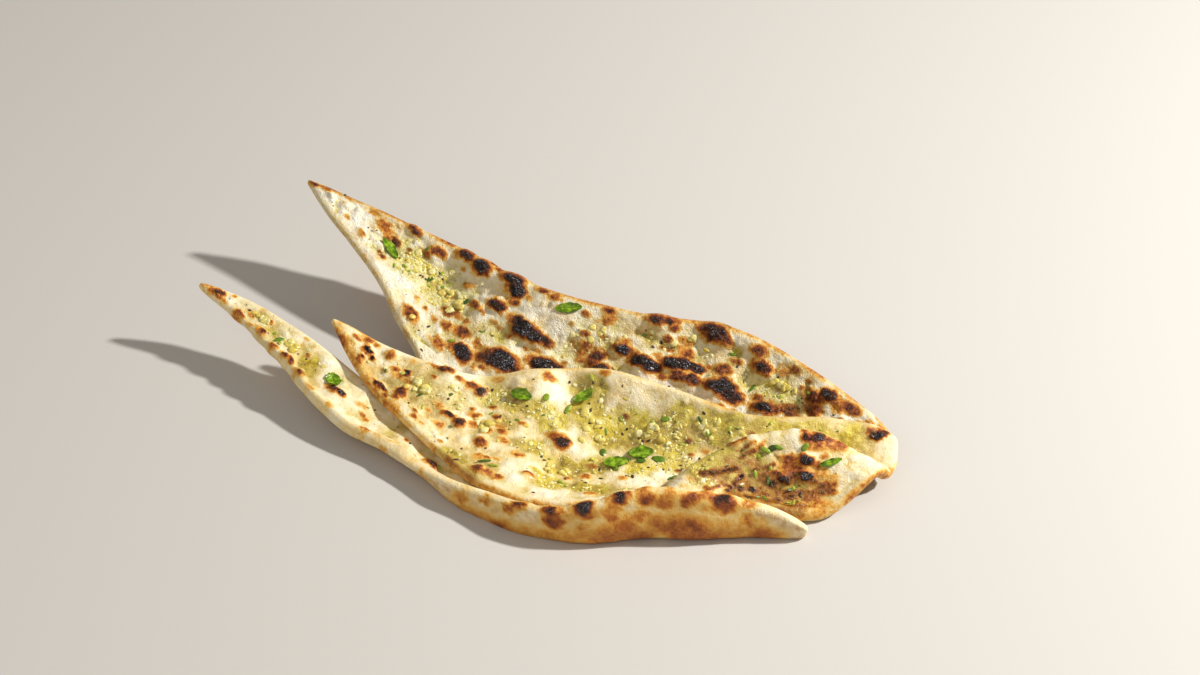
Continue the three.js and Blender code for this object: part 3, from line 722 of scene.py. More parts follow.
def build_baked_dough():
    """Baked dough from pale crumb over golden and brown to black char, with soaked butter, painted glints
    on the char and painted shade in the hollows.
    """
    tree, given, made = group_tree(
        "Baked dough",
        {"Toast": 0.0, "Butter": 0.0, "Underside": 0.0, "Cut": 0.0, "Relief": 0.0, "Soak": 0.5,
         "Crumb": 0.5, "Pallor": 0.5},
        {"Color": "NodeSocketColor", "Roughness": "NodeSocketFloat",
         "Coat": "NodeSocketFloat", "Height": "NodeSocketFloat"},
    )
    broad = noise_node(tree, 60, 2)
    patch = noise_node(tree, 260, 3, 0.6)
    grain = noise_node(tree, 620, 4, 0.65)
    pore = noise_node(tree, 1800, 2, 0.6)
    spark = noise_node(tree, 1400, 1, 0.5)

    def plus(a, b, clamp=False):
        return math_node(tree, "ADD", a, b, clamp)

    def minus(a, b, clamp=False):
        return math_node(tree, "SUBTRACT", a, b, clamp)

    def times(a, b, clamp=False):
        return math_node(tree, "MULTIPLY", a, b, clamp)

    ragged = times(minus(grain, 0.5), times(given["Toast"], 2.5, True))
    ragged = times(ragged, minus(1.0, times(given["Underside"], 0.6)))
    raised = times(minus(given["Relief"], 0.9, True), times(minus(patch, 0.42, True), 0.9), True)
    browned = plus(plus(given["Toast"], raised), ragged, True)

    # The tone of the crumb: random broad patches and grain, the slice's pallor, and painted shade, as the
    # relief makes the dough paler on its tops and darker and yellower in its hollows.
    swell = plus(times(given["Relief"], 0.22), times(minus(broad, 0.5), 0.7))
    swell = plus(plus(swell, times(minus(patch, 0.5), 0.9)), times(minus(grain, 0.5), 0.5))
    # Pallor lifts the whole tone of a slice. Its differences between the slices are painted light: the
    # back slice is made paler to stand for the stronger light on it.
    swell = plus(swell, given["Pallor"], True)
    pale = ramp_node(tree, swell, [
        (0.12, 196, 154, 70), (0.32, 230, 202, 128), (0.48, 244, 229, 190),
        (0.72, 250, 241, 214), (0.95, 255, 250, 236)])
    # The underside's colours, floury tan to orange brown, made darker than its baking alone to paint in
    # the shade on the front slice's curled wall, which faces away from the key light.
    underside_tone_and_shade = ramp_node(tree, patch, [
        (0.30, 180, 124, 60), (0.48, 219, 180, 122), (0.66, 240, 218, 176)])
    pale = mix_colours(tree, given["Underside"], pale, underside_tone_and_shade)
    pale = mix_colours(tree, times(given["Cut"], 0.5), pale, srgb(243, 229, 190))
    soaked = ramp_node(tree, swell, [
        (0.10, 118, 92, 4), (0.36, 172, 147, 14), (0.60, 216, 195, 58), (0.85, 246, 236, 168)])
    # More soaked colour in the hollows of the relief: partly butter pooled there, partly painted shade.
    low = times(minus(0.1, given["Relief"], True), 0.3)
    pooled = plus(times(minus(broad, 0.5), 1.6), times(minus(patch, 0.5), 1.2))
    soak = plus(plus(given["Butter"], low), times(minus(pooled, 0.3), given["Soak"]), True)
    soak = times(times(soak, minus(1.0, given["Underside"])), 1.7, True)
    pale = mix_colours(tree, soak, pale, soaked)

    toasted = ramp_node(tree, browned, [
        (0.00, 244, 228, 186), (0.14, 236, 200, 116), (0.28, 218, 156, 58), (0.42, 184, 106, 26),
        (0.56, 138, 66, 14), (0.70, 92, 40, 10), (0.84, 46, 22, 12), (1.00, 18, 14, 18)])
    char = times(minus(browned, 0.66, True), 5.0, True)
    toasted = mix_colours(tree, times(times(soak, 0.5), minus(1.0, char)), toasted, srgb(104, 74, 10))
    colour = mix_colours(tree, times(browned, 5.0, True), pale, toasted)
    # Grey ash flecks and painted glints: pale blue-grey specks on the char that stand in for the sparkle
    # of its wet sheen.
    ash_and_glint = times(times(minus(plus(spark, times(minus(patch, 0.5), 0.3)), 0.62, True), 10.0, True), char)
    colour = mix_colours(tree, times(ash_and_glint, 0.6), colour, srgb(190, 190, 208))
    wet = math_node(tree, "MAXIMUM", soak, times(char, 0.8))
    roughness = minus(minus(0.50, times(wet, 0.22)), times(char, 0.08))
    roughness = plus(roughness, times(minus(grain, 0.5), 0.3), True)
    coat = plus(times(minus(soak, browned, True), 0.5), times(char, 0.1))
    height = times(plus(times(grain, 0.8), times(pore, 0.4)), given["Crumb"])
    height = plus(height, times(times(spark, char), 0.8))
    for title, value in (("Color", colour), ("Roughness", roughness), ("Coat", coat), ("Height", height)):
        tree.links.new(value, made[title])
    return tree


baked_dough = build_baked_dough()


def dough_material(side, **look):
    """Baked dough. The look says how wet and how crumbly this slice is, and how pale, which is partly
    painted light.
    """
    material, shader = new_material(f"dough of the {side} slice", {
        "Specular IOR Level": 0.38, "Coat Roughness": 0.16, "Subsurface Weight": 0.1,
        "Subsurface Radius": (1.0, 0.8, 0.5), "Subsurface Scale": 1.5 * MM})
    tree = material.node_tree
    values = {key.title(): value_reader(tree, key)
              for key in ("toast", "butter", "underside", "cut", "relief")}
    values.update((key.title(), value) for key, value in look.items())
    made = place_group(tree, baked_dough, values)
    bump_into(tree, shader, made["Height"], strength=1.0, depth_mm=1.6)
    for title, taken in (("Color", "Base Color"), ("Roughness", "Roughness"), ("Coat", "Coat Weight")):
        tree.links.new(made[title], shader.inputs[taken])
    return material


def lay_slice(piece, **look):
    """Makes one slice and puts it in the place of its solid."""
    side = piece["side"]
    place_object(slice_mesh(piece), dough_material(side, **look), "slice_" + side)


# Each slice's pallor is partly painted light: the back slice is made paler for the stronger light on it,
# the middle and front ones darker.
lay_slice(back_slice, soak=0.3, crumb=1.1, pallor=0.76)

# Middle slice: the wide one, cut on both long sides. Its far edge curls up over the back slice, and
# its right end was folded up by the cut, so it shows a slope to the front, browned, with painted shade.
# Its hollow holds the most garlic butter.

middle_slice = {
    "side": "middle",
    "far": [
        [-94, 14, 25], [-66, -1, 18], [-36, -13, 15], [-6, -12, 16], [24, -16, 20], [54, -31, 21],
        [84, -46, 20], [116, -47, 19], [147, -48, 14],
    ],
    "near": [
        [-96, 11, 23], [-78, -19, 13], [-51, -51, 8], [-26.5, -78.5, 7.6], [2, -90, 8.4], [37, -89, 9],
        [72, -88, 7], [111, -91.5, 4.6], [144, -72, 7],
    ],
    "sag": [0, 1, 3, 6, 12.6, 13.2, 10, 7, 0],
    "crust": {"across": 1, "swell": 1.4, "reach": 0.10, "from": 0.72},
    "folds": [{"from": [50, -80], "to": [140, -77], "bow": 15, "height": 15.5,
               "front": 22, "back": 8, "rounding": 3.5}],
    "humps": [
        [0.19, 0.35, 17, 2.2], [0.3, 0.14, 10, -2.2], [0.385, 0.12, 11, 3.2], [0.45, 0.11, 8, -2.6],
        [0.54, 0.05, 13, 2], [0.55, 0.3, 13, -1.2], [0.4, 0.62, 15, 1.4], [0.6, 0.6, 14, 1],
    ],
    "blisters": [
        [0.125, 0.2, 4.5], [0.222, 0.03, 4.5], [0.28, 0.17, 5], [0.252, 0.55, 4.5], [0.283, 0.56, 4.5],
        [0.33, 0.63, 4.5], [0.46, 0.44, 6.5], [0.368, 0.87, 6], [0.435, 0.8, 4], [0.525, 0.75, 4.5],
        [0.848, 0.51, 4.5], [0.823, 0.64, 5], [0.85, 0.64, 5],
    ],
    "burns": [
        [0.06, 0.3, 1.4, 0.5], [0.075, 0.1, 2.6, 0.64], [0.085, 0.4, 1.4, 0.95], [0.093, 0.44, 1, 0.95],
        [0.102, 0.52, 1, 0.9], [0.084, 0.74, 1.3, 0.82], [0.125, 0.2, 2.2, 0.5], [0.145, 0.38, 1.4, 0.62],
        [0.155, 0.45, 1.8, 0.5], [0.165, 0.36, 1.4, 0.95], [0.135, 0.86, 1.3, 0.95],
        [0.146, 0.88, 1.5, 0.8], [0.158, 0.89, 1.4, 0.66], [0.175, 0.7, 2.8, 0.7],
        [0.196, 0.015, 2.6, 0.55], [0.218, 0.03, 3, 0.76], [0.268, 0.13, 2.4, 0.66],
        [0.286, 0.17, 3, 0.86], [0.31, 0.05, 2.4, 0.34], [0.405, 0.07, 2.8, 0.48],
        [0.501, 0.02, 2.6, 0.5], [0.235, 0.5, 2.4, 0.36], [0.255, 0.555, 2.2, 0.76],
        [0.268, 0.57, 1.6, 0.6], [0.281, 0.57, 2.4, 0.84], [0.25, 0.7, 2.2, 0.46],
        [0.302, 0.41, 2.2, 0.5], [0.34, 0.39, 1.2, 0.7], [0.355, 0.45, 2, 0.36], [0.305, 0.51, 2, 0.46],
        [0.332, 0.53, 1.9, 0.52], [0.357, 0.5, 2.2, 0.52], [0.366, 0.57, 2.2, 0.44],
        [0.334, 0.66, 2.8, 0.62], [0.337, 0.78, 2.2, 0.4], [0.369, 0.74, 1.6, 0.34],
        [0.403, 0.64, 1.8, 0.46], [0.448, 0.43, 2.8, 0.6], [0.464, 0.45, 3.4, 0.84],
        [0.352, 0.9, 3, 0.66], [0.368, 0.9, 2.4, 0.6], [0.39, 0.89, 1.8, 0.6], [0.435, 0.79, 2, 0.56],
        [0.523, 0.65, 2.2, 0.54], [0.527, 0.56, 2, 0.42], [0.582, 0.67, 1.9, 0.36],
        [0.55, 0.88, 2.2, 0.46], [0.821, 0.5, 2.6, 0.66], [0.848, 0.51, 3, 0.98], [0.85, 0.62, 3.3, 0.96],
        [0.823, 0.64, 3.3, 0.88], [0.803, 0.7, 2.6, 0.74], [0.808, 0.6, 2.2, 0.66], [0.83, 0.57, 7, 0.52],
        [0.779, 0.77, 2, 0.92], [0.779, 0.88, 2, 0.8], [0.832, 0.8, 2.8, 0.62], [0.872, 0.6, 3.6, 0.34],
        # Wide low toasts on the folded right end: its browning, made darker still with painted shade on
        # the face turned from the key light.
        [0.879, 0.73, 5, 0.54], [0.745, 0.6, 4, 0.22], [0.77, 0.72, 3.6, 0.32], [0.73, 0.74, 4, 0.28],
        [0.79, 0.8, 4.6, 0.4], [0.775, 0.58, 4, 0.3], [0.8, 0.66, 6, 0.46], [0.82, 0.78, 5, 0.44],
        [0.86, 0.8, 4.4, 0.5], [0.885, 0.68, 4, 0.3], [0.76, 0.88, 4, 0.36], [0.8, 0.9, 4.6, 0.42],
        [0.84, 0.92, 6, 0.46], [0.7, 0.8, 3, 0.22], [0.87, 0.9, 6, 0.34], [0.765, 0.8, 2.4, 0.7],
        [0.745, 0.82, 1.8, 0.66], [0.815, 0.86, 2.2, 0.66], [0.79, 0.66, 1.6, 0.62],
        [0.862, 0.66, 2.2, 0.6], [0.8, 0.8, 1.8, 0.6], [0.96, 0.15, 3, 0.92], [0.975, 0.12, 2.6, 0.9],
    ],
    # from along, across, to along, across, toast, half width: scorched streaks over the fold
    "streaks": [
        [0.762, 0.42, 0.739, 0.47, 0.6, 0.9], [0.777, 0.43, 0.75, 0.52, 0.62, 0.7],
        [0.789, 0.43, 0.759, 0.56, 0.7, 0.9], [0.757, 0.63, 0.708, 0.75, 0.78, 1.5],
        [0.764, 0.68, 0.749, 0.89, 0.84, 1.4], [0.806, 0.54, 0.781, 0.62, 0.72, 1],
        [0.843, 0.38, 0.872, 0.4, 0.92, 1.5], [0.872, 0.4, 0.895, 0.45, 0.74, 1.3],
        [0.85, 0.42, 0.905, 0.49, 0.5, 2], [0.838, 0.75, 0.897, 0.83, 0.62, 1.8],
        [0.735, 0.84, 0.722, 0.93, 0.66, 1.1], [0.79, 0.88, 0.83, 0.92, 0.6, 1.6],
    ],
    "butter": [
        [0.2, 0.45, 8, 0.3], [0.25, 0.3, 7, 0.45], [0.315, 0.21, 6, 0.9], [0.361, 0.26, 5, 0.95],
        [0.408, 0.28, 6, 0.95], [0.31, 0.08, 4, 0.6], [0.482, 0.1, 6, 1], [0.489, 0.23, 7, 1],
        [0.435, 0.32, 6, 0.9], [0.53, 0.3, 10, 0.9], [0.568, 0.21, 7, 1], [0.6, 0.26, 9, 0.95],
        [0.644, 0.14, 7, 1], [0.64, 0.32, 10, 0.95], [0.7, 0.14, 9, 1], [0.727, 0.09, 6, 1],
        [0.784, 0.1, 8, 0.9], [0.85, 0.12, 9, 0.8], [0.93, 0.15, 8, 0.6], [0.413, 0.54, 4.5, 0.7],
        [0.477, 0.6, 5, 0.6], [0.541, 0.55, 6, 0.85], [0.6, 0.55, 7, 0.9], [0.65, 0.48, 6, 0.85],
        [0.477, 0.78, 6, 0.65], [0.541, 0.79, 6, 0.65], [0.36, 0.4, 6, 0.4], [0.33, 0.55, 7, 0.3],
        # Butter over the folded right end: real butter, laid wide to darken the face with painted shade
        # too.
        [0.76, 0.62, 12, 0.9], [0.79, 0.74, 10, 0.9], [0.72, 0.72, 9, 0.9], [0.78, 0.88, 9, 0.9],
        [0.83, 0.88, 9, 0.9], [0.85, 0.72, 10, 0.8], [0.3, 0.97, 5, 0.8], [0.34, 0.98, 4, 0.8],
    ],
    # from along, across, to along, across, strength, half width: ripples where the butter ran
    "ripples": [
        [0.315, 0.21, 0.408, 0.29, 1, 3], [0.477, 0.6, 0.602, 0.58, 0.9, 1.5],
        [0.435, 0.72, 0.541, 0.79, 0.9, 1.3], [0.477, 0.8, 0.61, 0.82, 0.8, 1.2],
        [0.622, 0.46, 0.668, 0.46, 1, 1.3],
    ],
    "browned_edges": [
        [1, 0, 0.13, 0.44, 5.4], [1, 0.13, 0.2, 0.4, 3.6], [1, 0.2, 0.28, 0.26, 1.8],
        [1, 0.28, 0.36, 0.34, 2.6], [1, 0.36, 0.72, 0.26, 1.2], [1, 0.72, 1, 0.4, 2.4],
        [0, 0, 0.09, 0.34, 1.4], [0, 0.3, 0.95, 0.18, 1.4],
    ],
    "creases": [
        [0.742, 0.42, 0.7, 0.72, 0.9, 1], [0.762, 0.46, 0.735, 0.78, 0.9, 0.9],
        [0.785, 0.5, 0.77, 0.74, 0.8, 1], [0.79, 0.42, 0.81, 0.52, 0.6, 1],
    ],
    "freckles": [[0.05, 0.45, 30], [0.45, 0.95, 12]],
    "unevenness": 0.65,
    "garlic": [
        [0.2, 0.45, 0.03, 0.1, 8], [0.33, 0.5, 0.03, 0.1, 7], [0.5, 0.32, 0.03, 0.1, 9],
        [0.6, 0.25, 0.04, 0.09, 10], [0.69, 0.15, 0.03, 0.07, 8], [0.47, 0.65, 0.05, 0.1, 6],
    ],
    "small_bubbles": 120,
    "seed": 23,
}

lay_slice(middle_slice, soak=0.33, crumb=0.45, pallor=0.48)

# Front slice: a narrow trough. The bread's outer crust curls up along its near edge and shows
# its floury, brown-spotted underside to the front, with charred bubbles on the rim.

front_slice = {
    "side": "front",
    "far": [
        [-154, 33, 30], [-130, 24, 25], [-103, 6, 18.2], [-73, -17, 6.5], [-47, -46, 2.6], [-22, -80, 2],
        [10, -88, 1.8], [46, -88, 1.8], [104, -90, 2.4],
    ],
    "belly": [
        [-155, 31, 29], [-134, 20.6, 22.5], [-111, 1.4, 16], [-83, -27, 4.6], [-59, -56, 0.6],
        [-29, -92, -4], [10, -109, -4.5], [50, -111, -4.5], [106, -105, -3],
    ],
    "near": [
        [-156, 30, 29], [-138, 17, 22], [-119, -3.5, 17], [-92, -37, 11], [-64, -57.5, 9],
        [-34, -79, 10.4], [4, -99, 15.6], [46, -97, 24], [106, -98, 12],
    ],
    "crust": {"across": 1, "swell": 2.2, "reach": 0.10, "from": 0},
    "folds": [],
    "humps": [[0.37, 0.45, 11, 2.6], [0.20, 0.20, 12, -0.8], [0.27, 0.30, 10, -1.0]],
    "blisters": [
        [0.124, 0.92, 5], [0.193, 0.86, 5], [0.236, 0.96, 4.5], [0.269, 0.92, 5], [0.3, 0.95, 5.5],
        [0.344, 0.64, 6], [0.509, 0.9, 5], [0.529, 0.41, 4.5], [0.71, 0.97, 4.5], [0.745, 0.97, 4.5],
        [0.785, 0.97, 6.5], [0.828, 0.97, 6.5], [0.86, 0.99, 4], [0.882, 0.96, 4.5], [0.917, 1, 4.5],
        [0.935, 0.97, 6.5],
    ],
    "burns": [
        [0.048, 0.4, 3, 0.78], [0.036, 0.6, 2.6, 0.5], [0.075, 0.85, 2, 0.4], [0.124, 0.94, 2.5, 0.78],
        [0.143, 0.51, 2.4, 0.34], [0.16, 0.94, 1.5, 0.46], [0.193, 0.86, 2.8, 0.48],
        [0.196, 0.82, 1.4, 0.78], [0.236, 0.94, 1.8, 0.66], [0.262, 0.93, 1.8, 0.86],
        [0.275, 0.9, 1.3, 0.9], [0.298, 0.94, 2.2, 0.84], [0.321, 0.94, 2.2, 0.36],
        [0.357, 0.95, 2.2, 0.34], [0.338, 0.66, 2.8, 0.84], [0.35, 0.63, 2.4, 0.94],
        [0.404, 0.6, 1.5, 0.46], [0.396, 0.57, 0.9, 0.5], [0.377, 0.51, 1.2, 0.3],
        [0.433, 0.93, 2.8, 0.5], [0.456, 0.94, 2.6, 0.34], [0.476, 0.9, 3, 0.36],
        [0.488, 0.84, 2.8, 0.34], [0.505, 0.66, 2.6, 0.42], [0.529, 0.42, 3, 0.84],
        [0.565, 0.35, 2.6, 0.46], [0.703, 0.96, 2.4, 0.95], [0.712, 0.99, 1.8, 0.8],
        [0.742, 0.97, 2.6, 0.95], [0.752, 0.99, 2, 0.8], [0.778, 0.95, 2.2, 0.9], [0.786, 0.98, 3.4, 1],
        [0.795, 0.93, 1.8, 0.8], [0.82, 0.97, 2.4, 0.85], [0.832, 0.94, 2.8, 0.72],
        [0.856, 0.99, 2.2, 0.8], [0.862, 0.95, 2.4, 0.66], [0.882, 0.97, 2.4, 0.7], [0.9, 0.95, 2.2, 0.5],
        [0.915, 0.99, 2.8, 0.95], [0.93, 0.97, 3.8, 1], [0.945, 0.93, 2.6, 0.85], [0.95, 0.98, 2.8, 0.95],
    ],
    "under_spots": [
        [0.745, 0.88, 4.4, 0.6], [0.82, 0.88, 5, 0.5], [0.85, 0.8, 4, 0.42], [0.88, 0.92, 4, 0.56],
        [0.78, 0.8, 4, 0.44], [0.86, 0.94, 4.4, 0.6], [0.9, 0.94, 3.6, 0.6], [0.69, 0.9, 3.4, 0.5],
        [0.79, 0.92, 4.4, 0.6], [0.745, 0.94, 3.6, 0.6], [0.93, 0.91, 5, 0.62], [0.95, 0.8, 5, 0.4],
        [0.55, 0.82, 4, 0.36], [0.48, 0.85, 4, 0.34], [0.62, 0.84, 4, 0.38], [0.66, 0.92, 3, 0.46],
        [0.703, 0.98, 2.8, 0.9], [0.742, 0.985, 3.2, 0.95], [0.786, 0.98, 4.2, 1],
        [0.832, 0.97, 3.4, 0.85], [0.905, 0.98, 3, 0.7], [0.93, 0.98, 4.6, 1],
    ],
    "butter": [
        [0.15, 0.45, 7, 0.3], [0.22, 0.5, 8, 0.35], [0.28, 0.48, 8, 0.3], [0.33, 0.35, 7, 0.3],
        [0.38, 0.3, 6, 0.25], [0.45, 0.3, 8, 0.2],
    ],
    "browned_edges": [[1, 0.0, 1.0, 0.12, 3.0], [0, 0.0, 0.05, 0.4, 3.0]],
    "freckles": [[0.04, 0.62, 12]],
    "unevenness": 0.55,
    "garlic": [[0.17, 0.42, 0.03, 0.10, 6], [0.24, 0.50, 0.03, 0.10, 6], [0.31, 0.42, 0.03, 0.10, 5]],
    "small_bubbles": 60,
    "seed": 37,
}

lay_slice(front_slice, soak=0.4, crumb=0.5, pallor=0.48)

# Chopped garlic, cooked soft in butter and spread in the hollows, about 1 to 4 mm across.
# The larger pieces lie half sunk in the dough, and fine mince fills the wettest places.
# The larger ones of all slices are drawn from one run of random numbers, back slice first.

GARLIC_SIZE = (1.2, 2.0)  # smallest and largest radius
GARLIC_SUNK = 0.3  # share of its half height that a piece sinks into the dough
GARLIC_SEED = 7
MINCE_PIECES = 1400  # wanted: about 1,070 of them find a place
MINCE_SUNK = 0.1  # share of its size that a crumb sinks into the dough
slices = (back_slice, middle_slice, front_slice)


def steady_random(state):
    """Repeatable random numbers from 0 to 1, the same run that places the garlic of the solids."""
    while True:
        state = (state * 1664525 + 1013904223) % 4294967296
        yield state / 4294967296


def round_shape(subdivisions, squareness=0.0):
    """The points and faces of a ball of radius 1, pressed some way towards a cube."""
    ball = bmesh.new()
    bmesh.ops.create_icosphere(ball, subdivisions=subdivisions, radius=1)
    points = np.array([v.co[:] for v in ball.verts])
    points /= np.abs(points).max(axis=1, keepdims=True) ** squareness
    faces = np.array([[v.index for v in f.verts] for f in ball.faces])
    ball.free()
    return points, faces


def bits_mesh(name, shape, rows, random, unevenness):
    """One mesh of many small pieces, each given by centre, normal, three sizes, turn and tint."""
    points, faces = shape
    centres, normals, sizes, turns, tints = (np.array(column, float) for column in zip(*rows))
    side = unit(np.cross(normals, [0.0, 1.0, 0.0]))
    other = np.cross(normals, side)
    cos, sin = np.cos(turns)[:, None], np.sin(turns)[:, None]
    axes = np.stack([cos * side + sin * other, cos * other - sin * side, normals], axis=1)
    lumps = rough_noise(points + random.uniform(0, 90, (len(rows), 1, 3)), 1.3, 5)[..., None]
    jitter = 1 + unevenness * (lumps + 0.15 * random.uniform(-1, 1, (len(rows), len(points), 1)))
    local = points[None] * sizes[:, None] * jitter
    vertices = np.einsum("npk,nkx->npx", local, axes) + centres[:, None] + SHIFT_TO_MIDDLE
    vertices = np.clip(vertices.reshape(-1, 3) * MM, *cad_box)
    offsets = np.arange(len(rows))[:, None, None] * len(points)
    mesh = mesh_from_arrays(name, vertices, (faces[None] + offsets).reshape(-1, 3))
    point_values(mesh, "tint", np.repeat(tints, len(points)))
    return mesh


def build_fine_mottle():
    """A tint that changes a little over each piece, with the fine relief that goes with it."""
    tree, given, made = group_tree(
        "Fine mottle", {"Tint": 0.5, "Scale": 900.0, "Change": 0.5},
        {"Shade": "NodeSocketFloat", "Height": "NodeSocketFloat"},
    )
    mottle = noise_node(tree, given["Scale"])
    change = math_node(tree, "MULTIPLY", math_node(tree, "SUBTRACT", mottle, 0.5), given["Change"])
    tree.links.new(math_node(tree, "ADD", given["Tint"], change, clamp=True), made["Shade"])
    tree.links.new(mottle, made["Height"])
    return tree


fine_mottle = build_fine_mottle()


def bits_material(name, stops, roughness, coat, glow):
    """Small soft pieces whose colour changes from piece to piece, with a fine mottle."""
    material, shader = new_material(name, {
        "Roughness": roughness, "Coat Weight": coat, "Coat Roughness": 0.12,
        "Subsurface Weight": glow, "Subsurface Radius": (1.0, 0.9, 0.4), "Subsurface Scale": MM})
    tree = material.node_tree
    mottle = place_group(
        tree, fine_mottle, {"Tint": value_reader(tree, "tint"), "Scale": 900.0, "Change": 0.5})
    tree.links.new(ramp_node(tree, mottle["Shade"], stops), shader.inputs["Base Color"])
    bump_into(tree, shader, mottle["Height"], strength=0.4, depth_mm=0.4)
    return material


def mostly_small(random, smallest, spread, power):
    """A random size in mm: many small pieces and few large ones."""
    return smallest + spread * random.uniform(0, 1) ** power


def scattered_places(random, pieces, shares, tries_each, chance):
    """Points and normals on top of the slices, shared out, kept by a chance of the place."""
    for piece, share in zip(slices, shares):
        wanted = int(pieces * share)
        tries = tries_each * wanted
        face = top_surface(piece, random.uniform(0.05, 0.97, tries), random.uniform(0.04, 0.96, tries))
        kept = np.flatnonzero(random.uniform(0, 1, tries) < chance(piece, face))[:wanted]
        yield from zip(face["top"][kept], face["normal"][kept])


def places_on(groups):
    """The point and the normal on top of its slice for each row that starts along, across."""
    for piece, rows in groups:
        face = top_surface(piece, *(np.array([row[side] for row in rows]) for side in (0, 1)))
        yield from zip(face["top"], face["normal"], rows)


garlic_draw = steady_random(GARLIC_SEED)
garlic_random = np.random.default_rng(GARLIC_SEED)
garlic_rows = []
for piece in slices:
    drawn = []
    for along, across, spread_along, spread_across, count in piece["garlic"]:
        for _ in range(count):
            a = along + spread_along * (next(garlic_draw) + next(garlic_draw) - 1)
            b = across + spread_across * (next(garlic_draw) + next(garlic_draw) - 1)
            size = GARLIC_SIZE[0] + (GARLIC_SIZE[1] - GARLIC_SIZE[0]) * next(garlic_draw)
            flat = np.array([1, 0.65 + 0.35 * next(garlic_draw), 0.6 + 0.2 * next(garlic_draw)])
            drawn.append((a, b, size * flat, math.pi * next(garlic_draw)))
    place = dough(piece, *(np.array([row[side] for row in drawn]) for side in (0, 1)))
    centres = place["point"] + place["normal"] * place["above"][..., None]
    for (_, _, sizes, turn), centre, normal in zip(drawn, centres, place["normal"]):
        sunk = centre - GARLIC_SUNK * sizes[2] * normal
        garlic_rows.append((sunk, normal, sizes, turn, garlic_random.uniform(0, 0.65)))

mince_rows = []


def mince_chance(piece, face):
    """Mince lies in clumps, in the butter, off the burnt spots and off the folded right end."""
    clump = uneven(face["sheet_point"], level=0.45, change=1.6, size=7.0, seed=piece["seed"] + 20)
    wet = np.clip(face["butter"] * 1.3 - 0.25, 0.05, 1) * np.clip(clump, 0, 1)
    return wet * (face["toast"] < 0.3) * (face["along"] < 0.76) * (face["edge_distance"] > 5)


for point, normal in scattered_places(garlic_random, MINCE_PIECES, (0.42, 0.48, 0.1), 14, mince_chance):
    size = mostly_small(garlic_random, smallest=0.35, spread=1.0, power=2)
    flat = size * np.array([1, garlic_random.uniform(0.5, 1.0), garlic_random.uniform(0.2, 0.4)])
    lean = unit(normal + garlic_random.normal(0, 0.2, 3))
    mince_rows.append((point - MINCE_SUNK * size * normal, lean, flat,
                       garlic_random.uniform(0, math.pi), garlic_random.uniform(0, 0.8)))

buttered_garlic = bits_material(
    "buttered garlic",
    [(0.0, 204, 182, 74), (0.4, 228, 212, 122), (0.7, 242, 232, 174), (0.92, 246, 238, 200),
     (1.0, 206, 156, 76)],
    roughness=0.34, coat=0.3, glow=0.45,
)
place_object(bits_mesh("chopped_garlic", round_shape(3, 0.5), garlic_rows, garlic_random, 0.5),
             buttered_garlic)
place_object(bits_mesh("minced_garlic", round_shape(2, 0.4), mince_rows, garlic_random, 0.35),
             buttered_garlic)

# Chilli: a few soft bits of yellow and green chilli, 2 to 4 mm long, fried with the butter.
# They lie loose on the dough among the garlic.

CHILLI_HALF = 0.62  # half of each size, and a little over for what the ball's ends lose
# along, across, length, width, height, turn in degrees, tint: 0 yellow, 1 green
CHILLI_BITS = [
    (back_slice, [
        (0.268, 0.88, 2.6, 2.2, 1.2, 20, 0.05), (0.218, 0.40, 1.9, 1.5, 0.9, 60, 0.1),
        (0.235, 0.44, 2.6, 1.0, 0.8, -20, 0.5), (0.262, 0.42, 2.8, 1.1, 0.8, -30, 0.6),
        (0.285, 0.34, 1.8, 1.4, 1.0, 10, 0.9), (0.300, 0.42, 2.4, 1.6, 1.0, 0, 0.3),
        (0.820, 0.30, 1.8, 1.2, 0.8, 30, 0.7), (0.560, 0.22, 1.5, 1.1, 0.8, 30, 0.1)]),
    (middle_slice, [
        (0.178, 0.56, 2.4, 2.0, 1.2, 50, 0.08), (0.215, 0.66, 2.6, 1.0, 0.8, 80, 0.65),
        (0.345, 0.42, 2.2, 1.6, 1.0, 0, 0.2), (0.160, 0.39, 2.0, 1.4, 0.9, 0, 0.5),
        (0.395, 0.40, 2.4, 1.5, 0.9, 15, 0.1), (0.440, 0.35, 1.8, 1.3, 0.9, 70, 0.25),
        (0.600, 0.20, 2.0, 1.2, 0.9, 40, 0.7), (0.655, 0.30, 2.2, 1.2, 0.9, -15, 0.6),
        (0.700, 0.16, 2.4, 1.6, 1.0, 10, 0.35), (0.725, 0.12, 2.2, 1.3, 0.9, 50, 0.6)]),
    (front_slice, [(0.245, 0.56, 2.6, 1.6, 0.8, 10, 0.4), (0.145, 0.42, 2.0, 1.6, 0.9, 0, 0.15)]),
]

chilli_rows = [
    (point, normal, CHILLI_HALF * np.array(size), math.radians(degrees), tint)
    for point, normal, (_, _, *size, degrees, tint) in places_on(CHILLI_BITS)
]
place_object(
    bits_mesh("chilli_bits", round_shape(3), chilli_rows, np.random.default_rng(3), 0.05),
    bits_material(
        "soft chilli",
        [(0.0, 228, 188, 88), (0.3, 226, 202, 96), (0.6, 176, 184, 58), (1.0, 96, 138, 40)],
        roughness=0.3, coat=0.6, glow=0.15,
    ),
)

# Pepper, charred flecks and toasted garlic ends: dry dark specks from 0.3 to 2 mm, everywhere
# on the bread and thickest where the butter was spread.

SPECKS = 320
DARK_BIT_SHAPE = np.array([0.8, 0.45, 0.25])  # half sizes as shares of the named radius
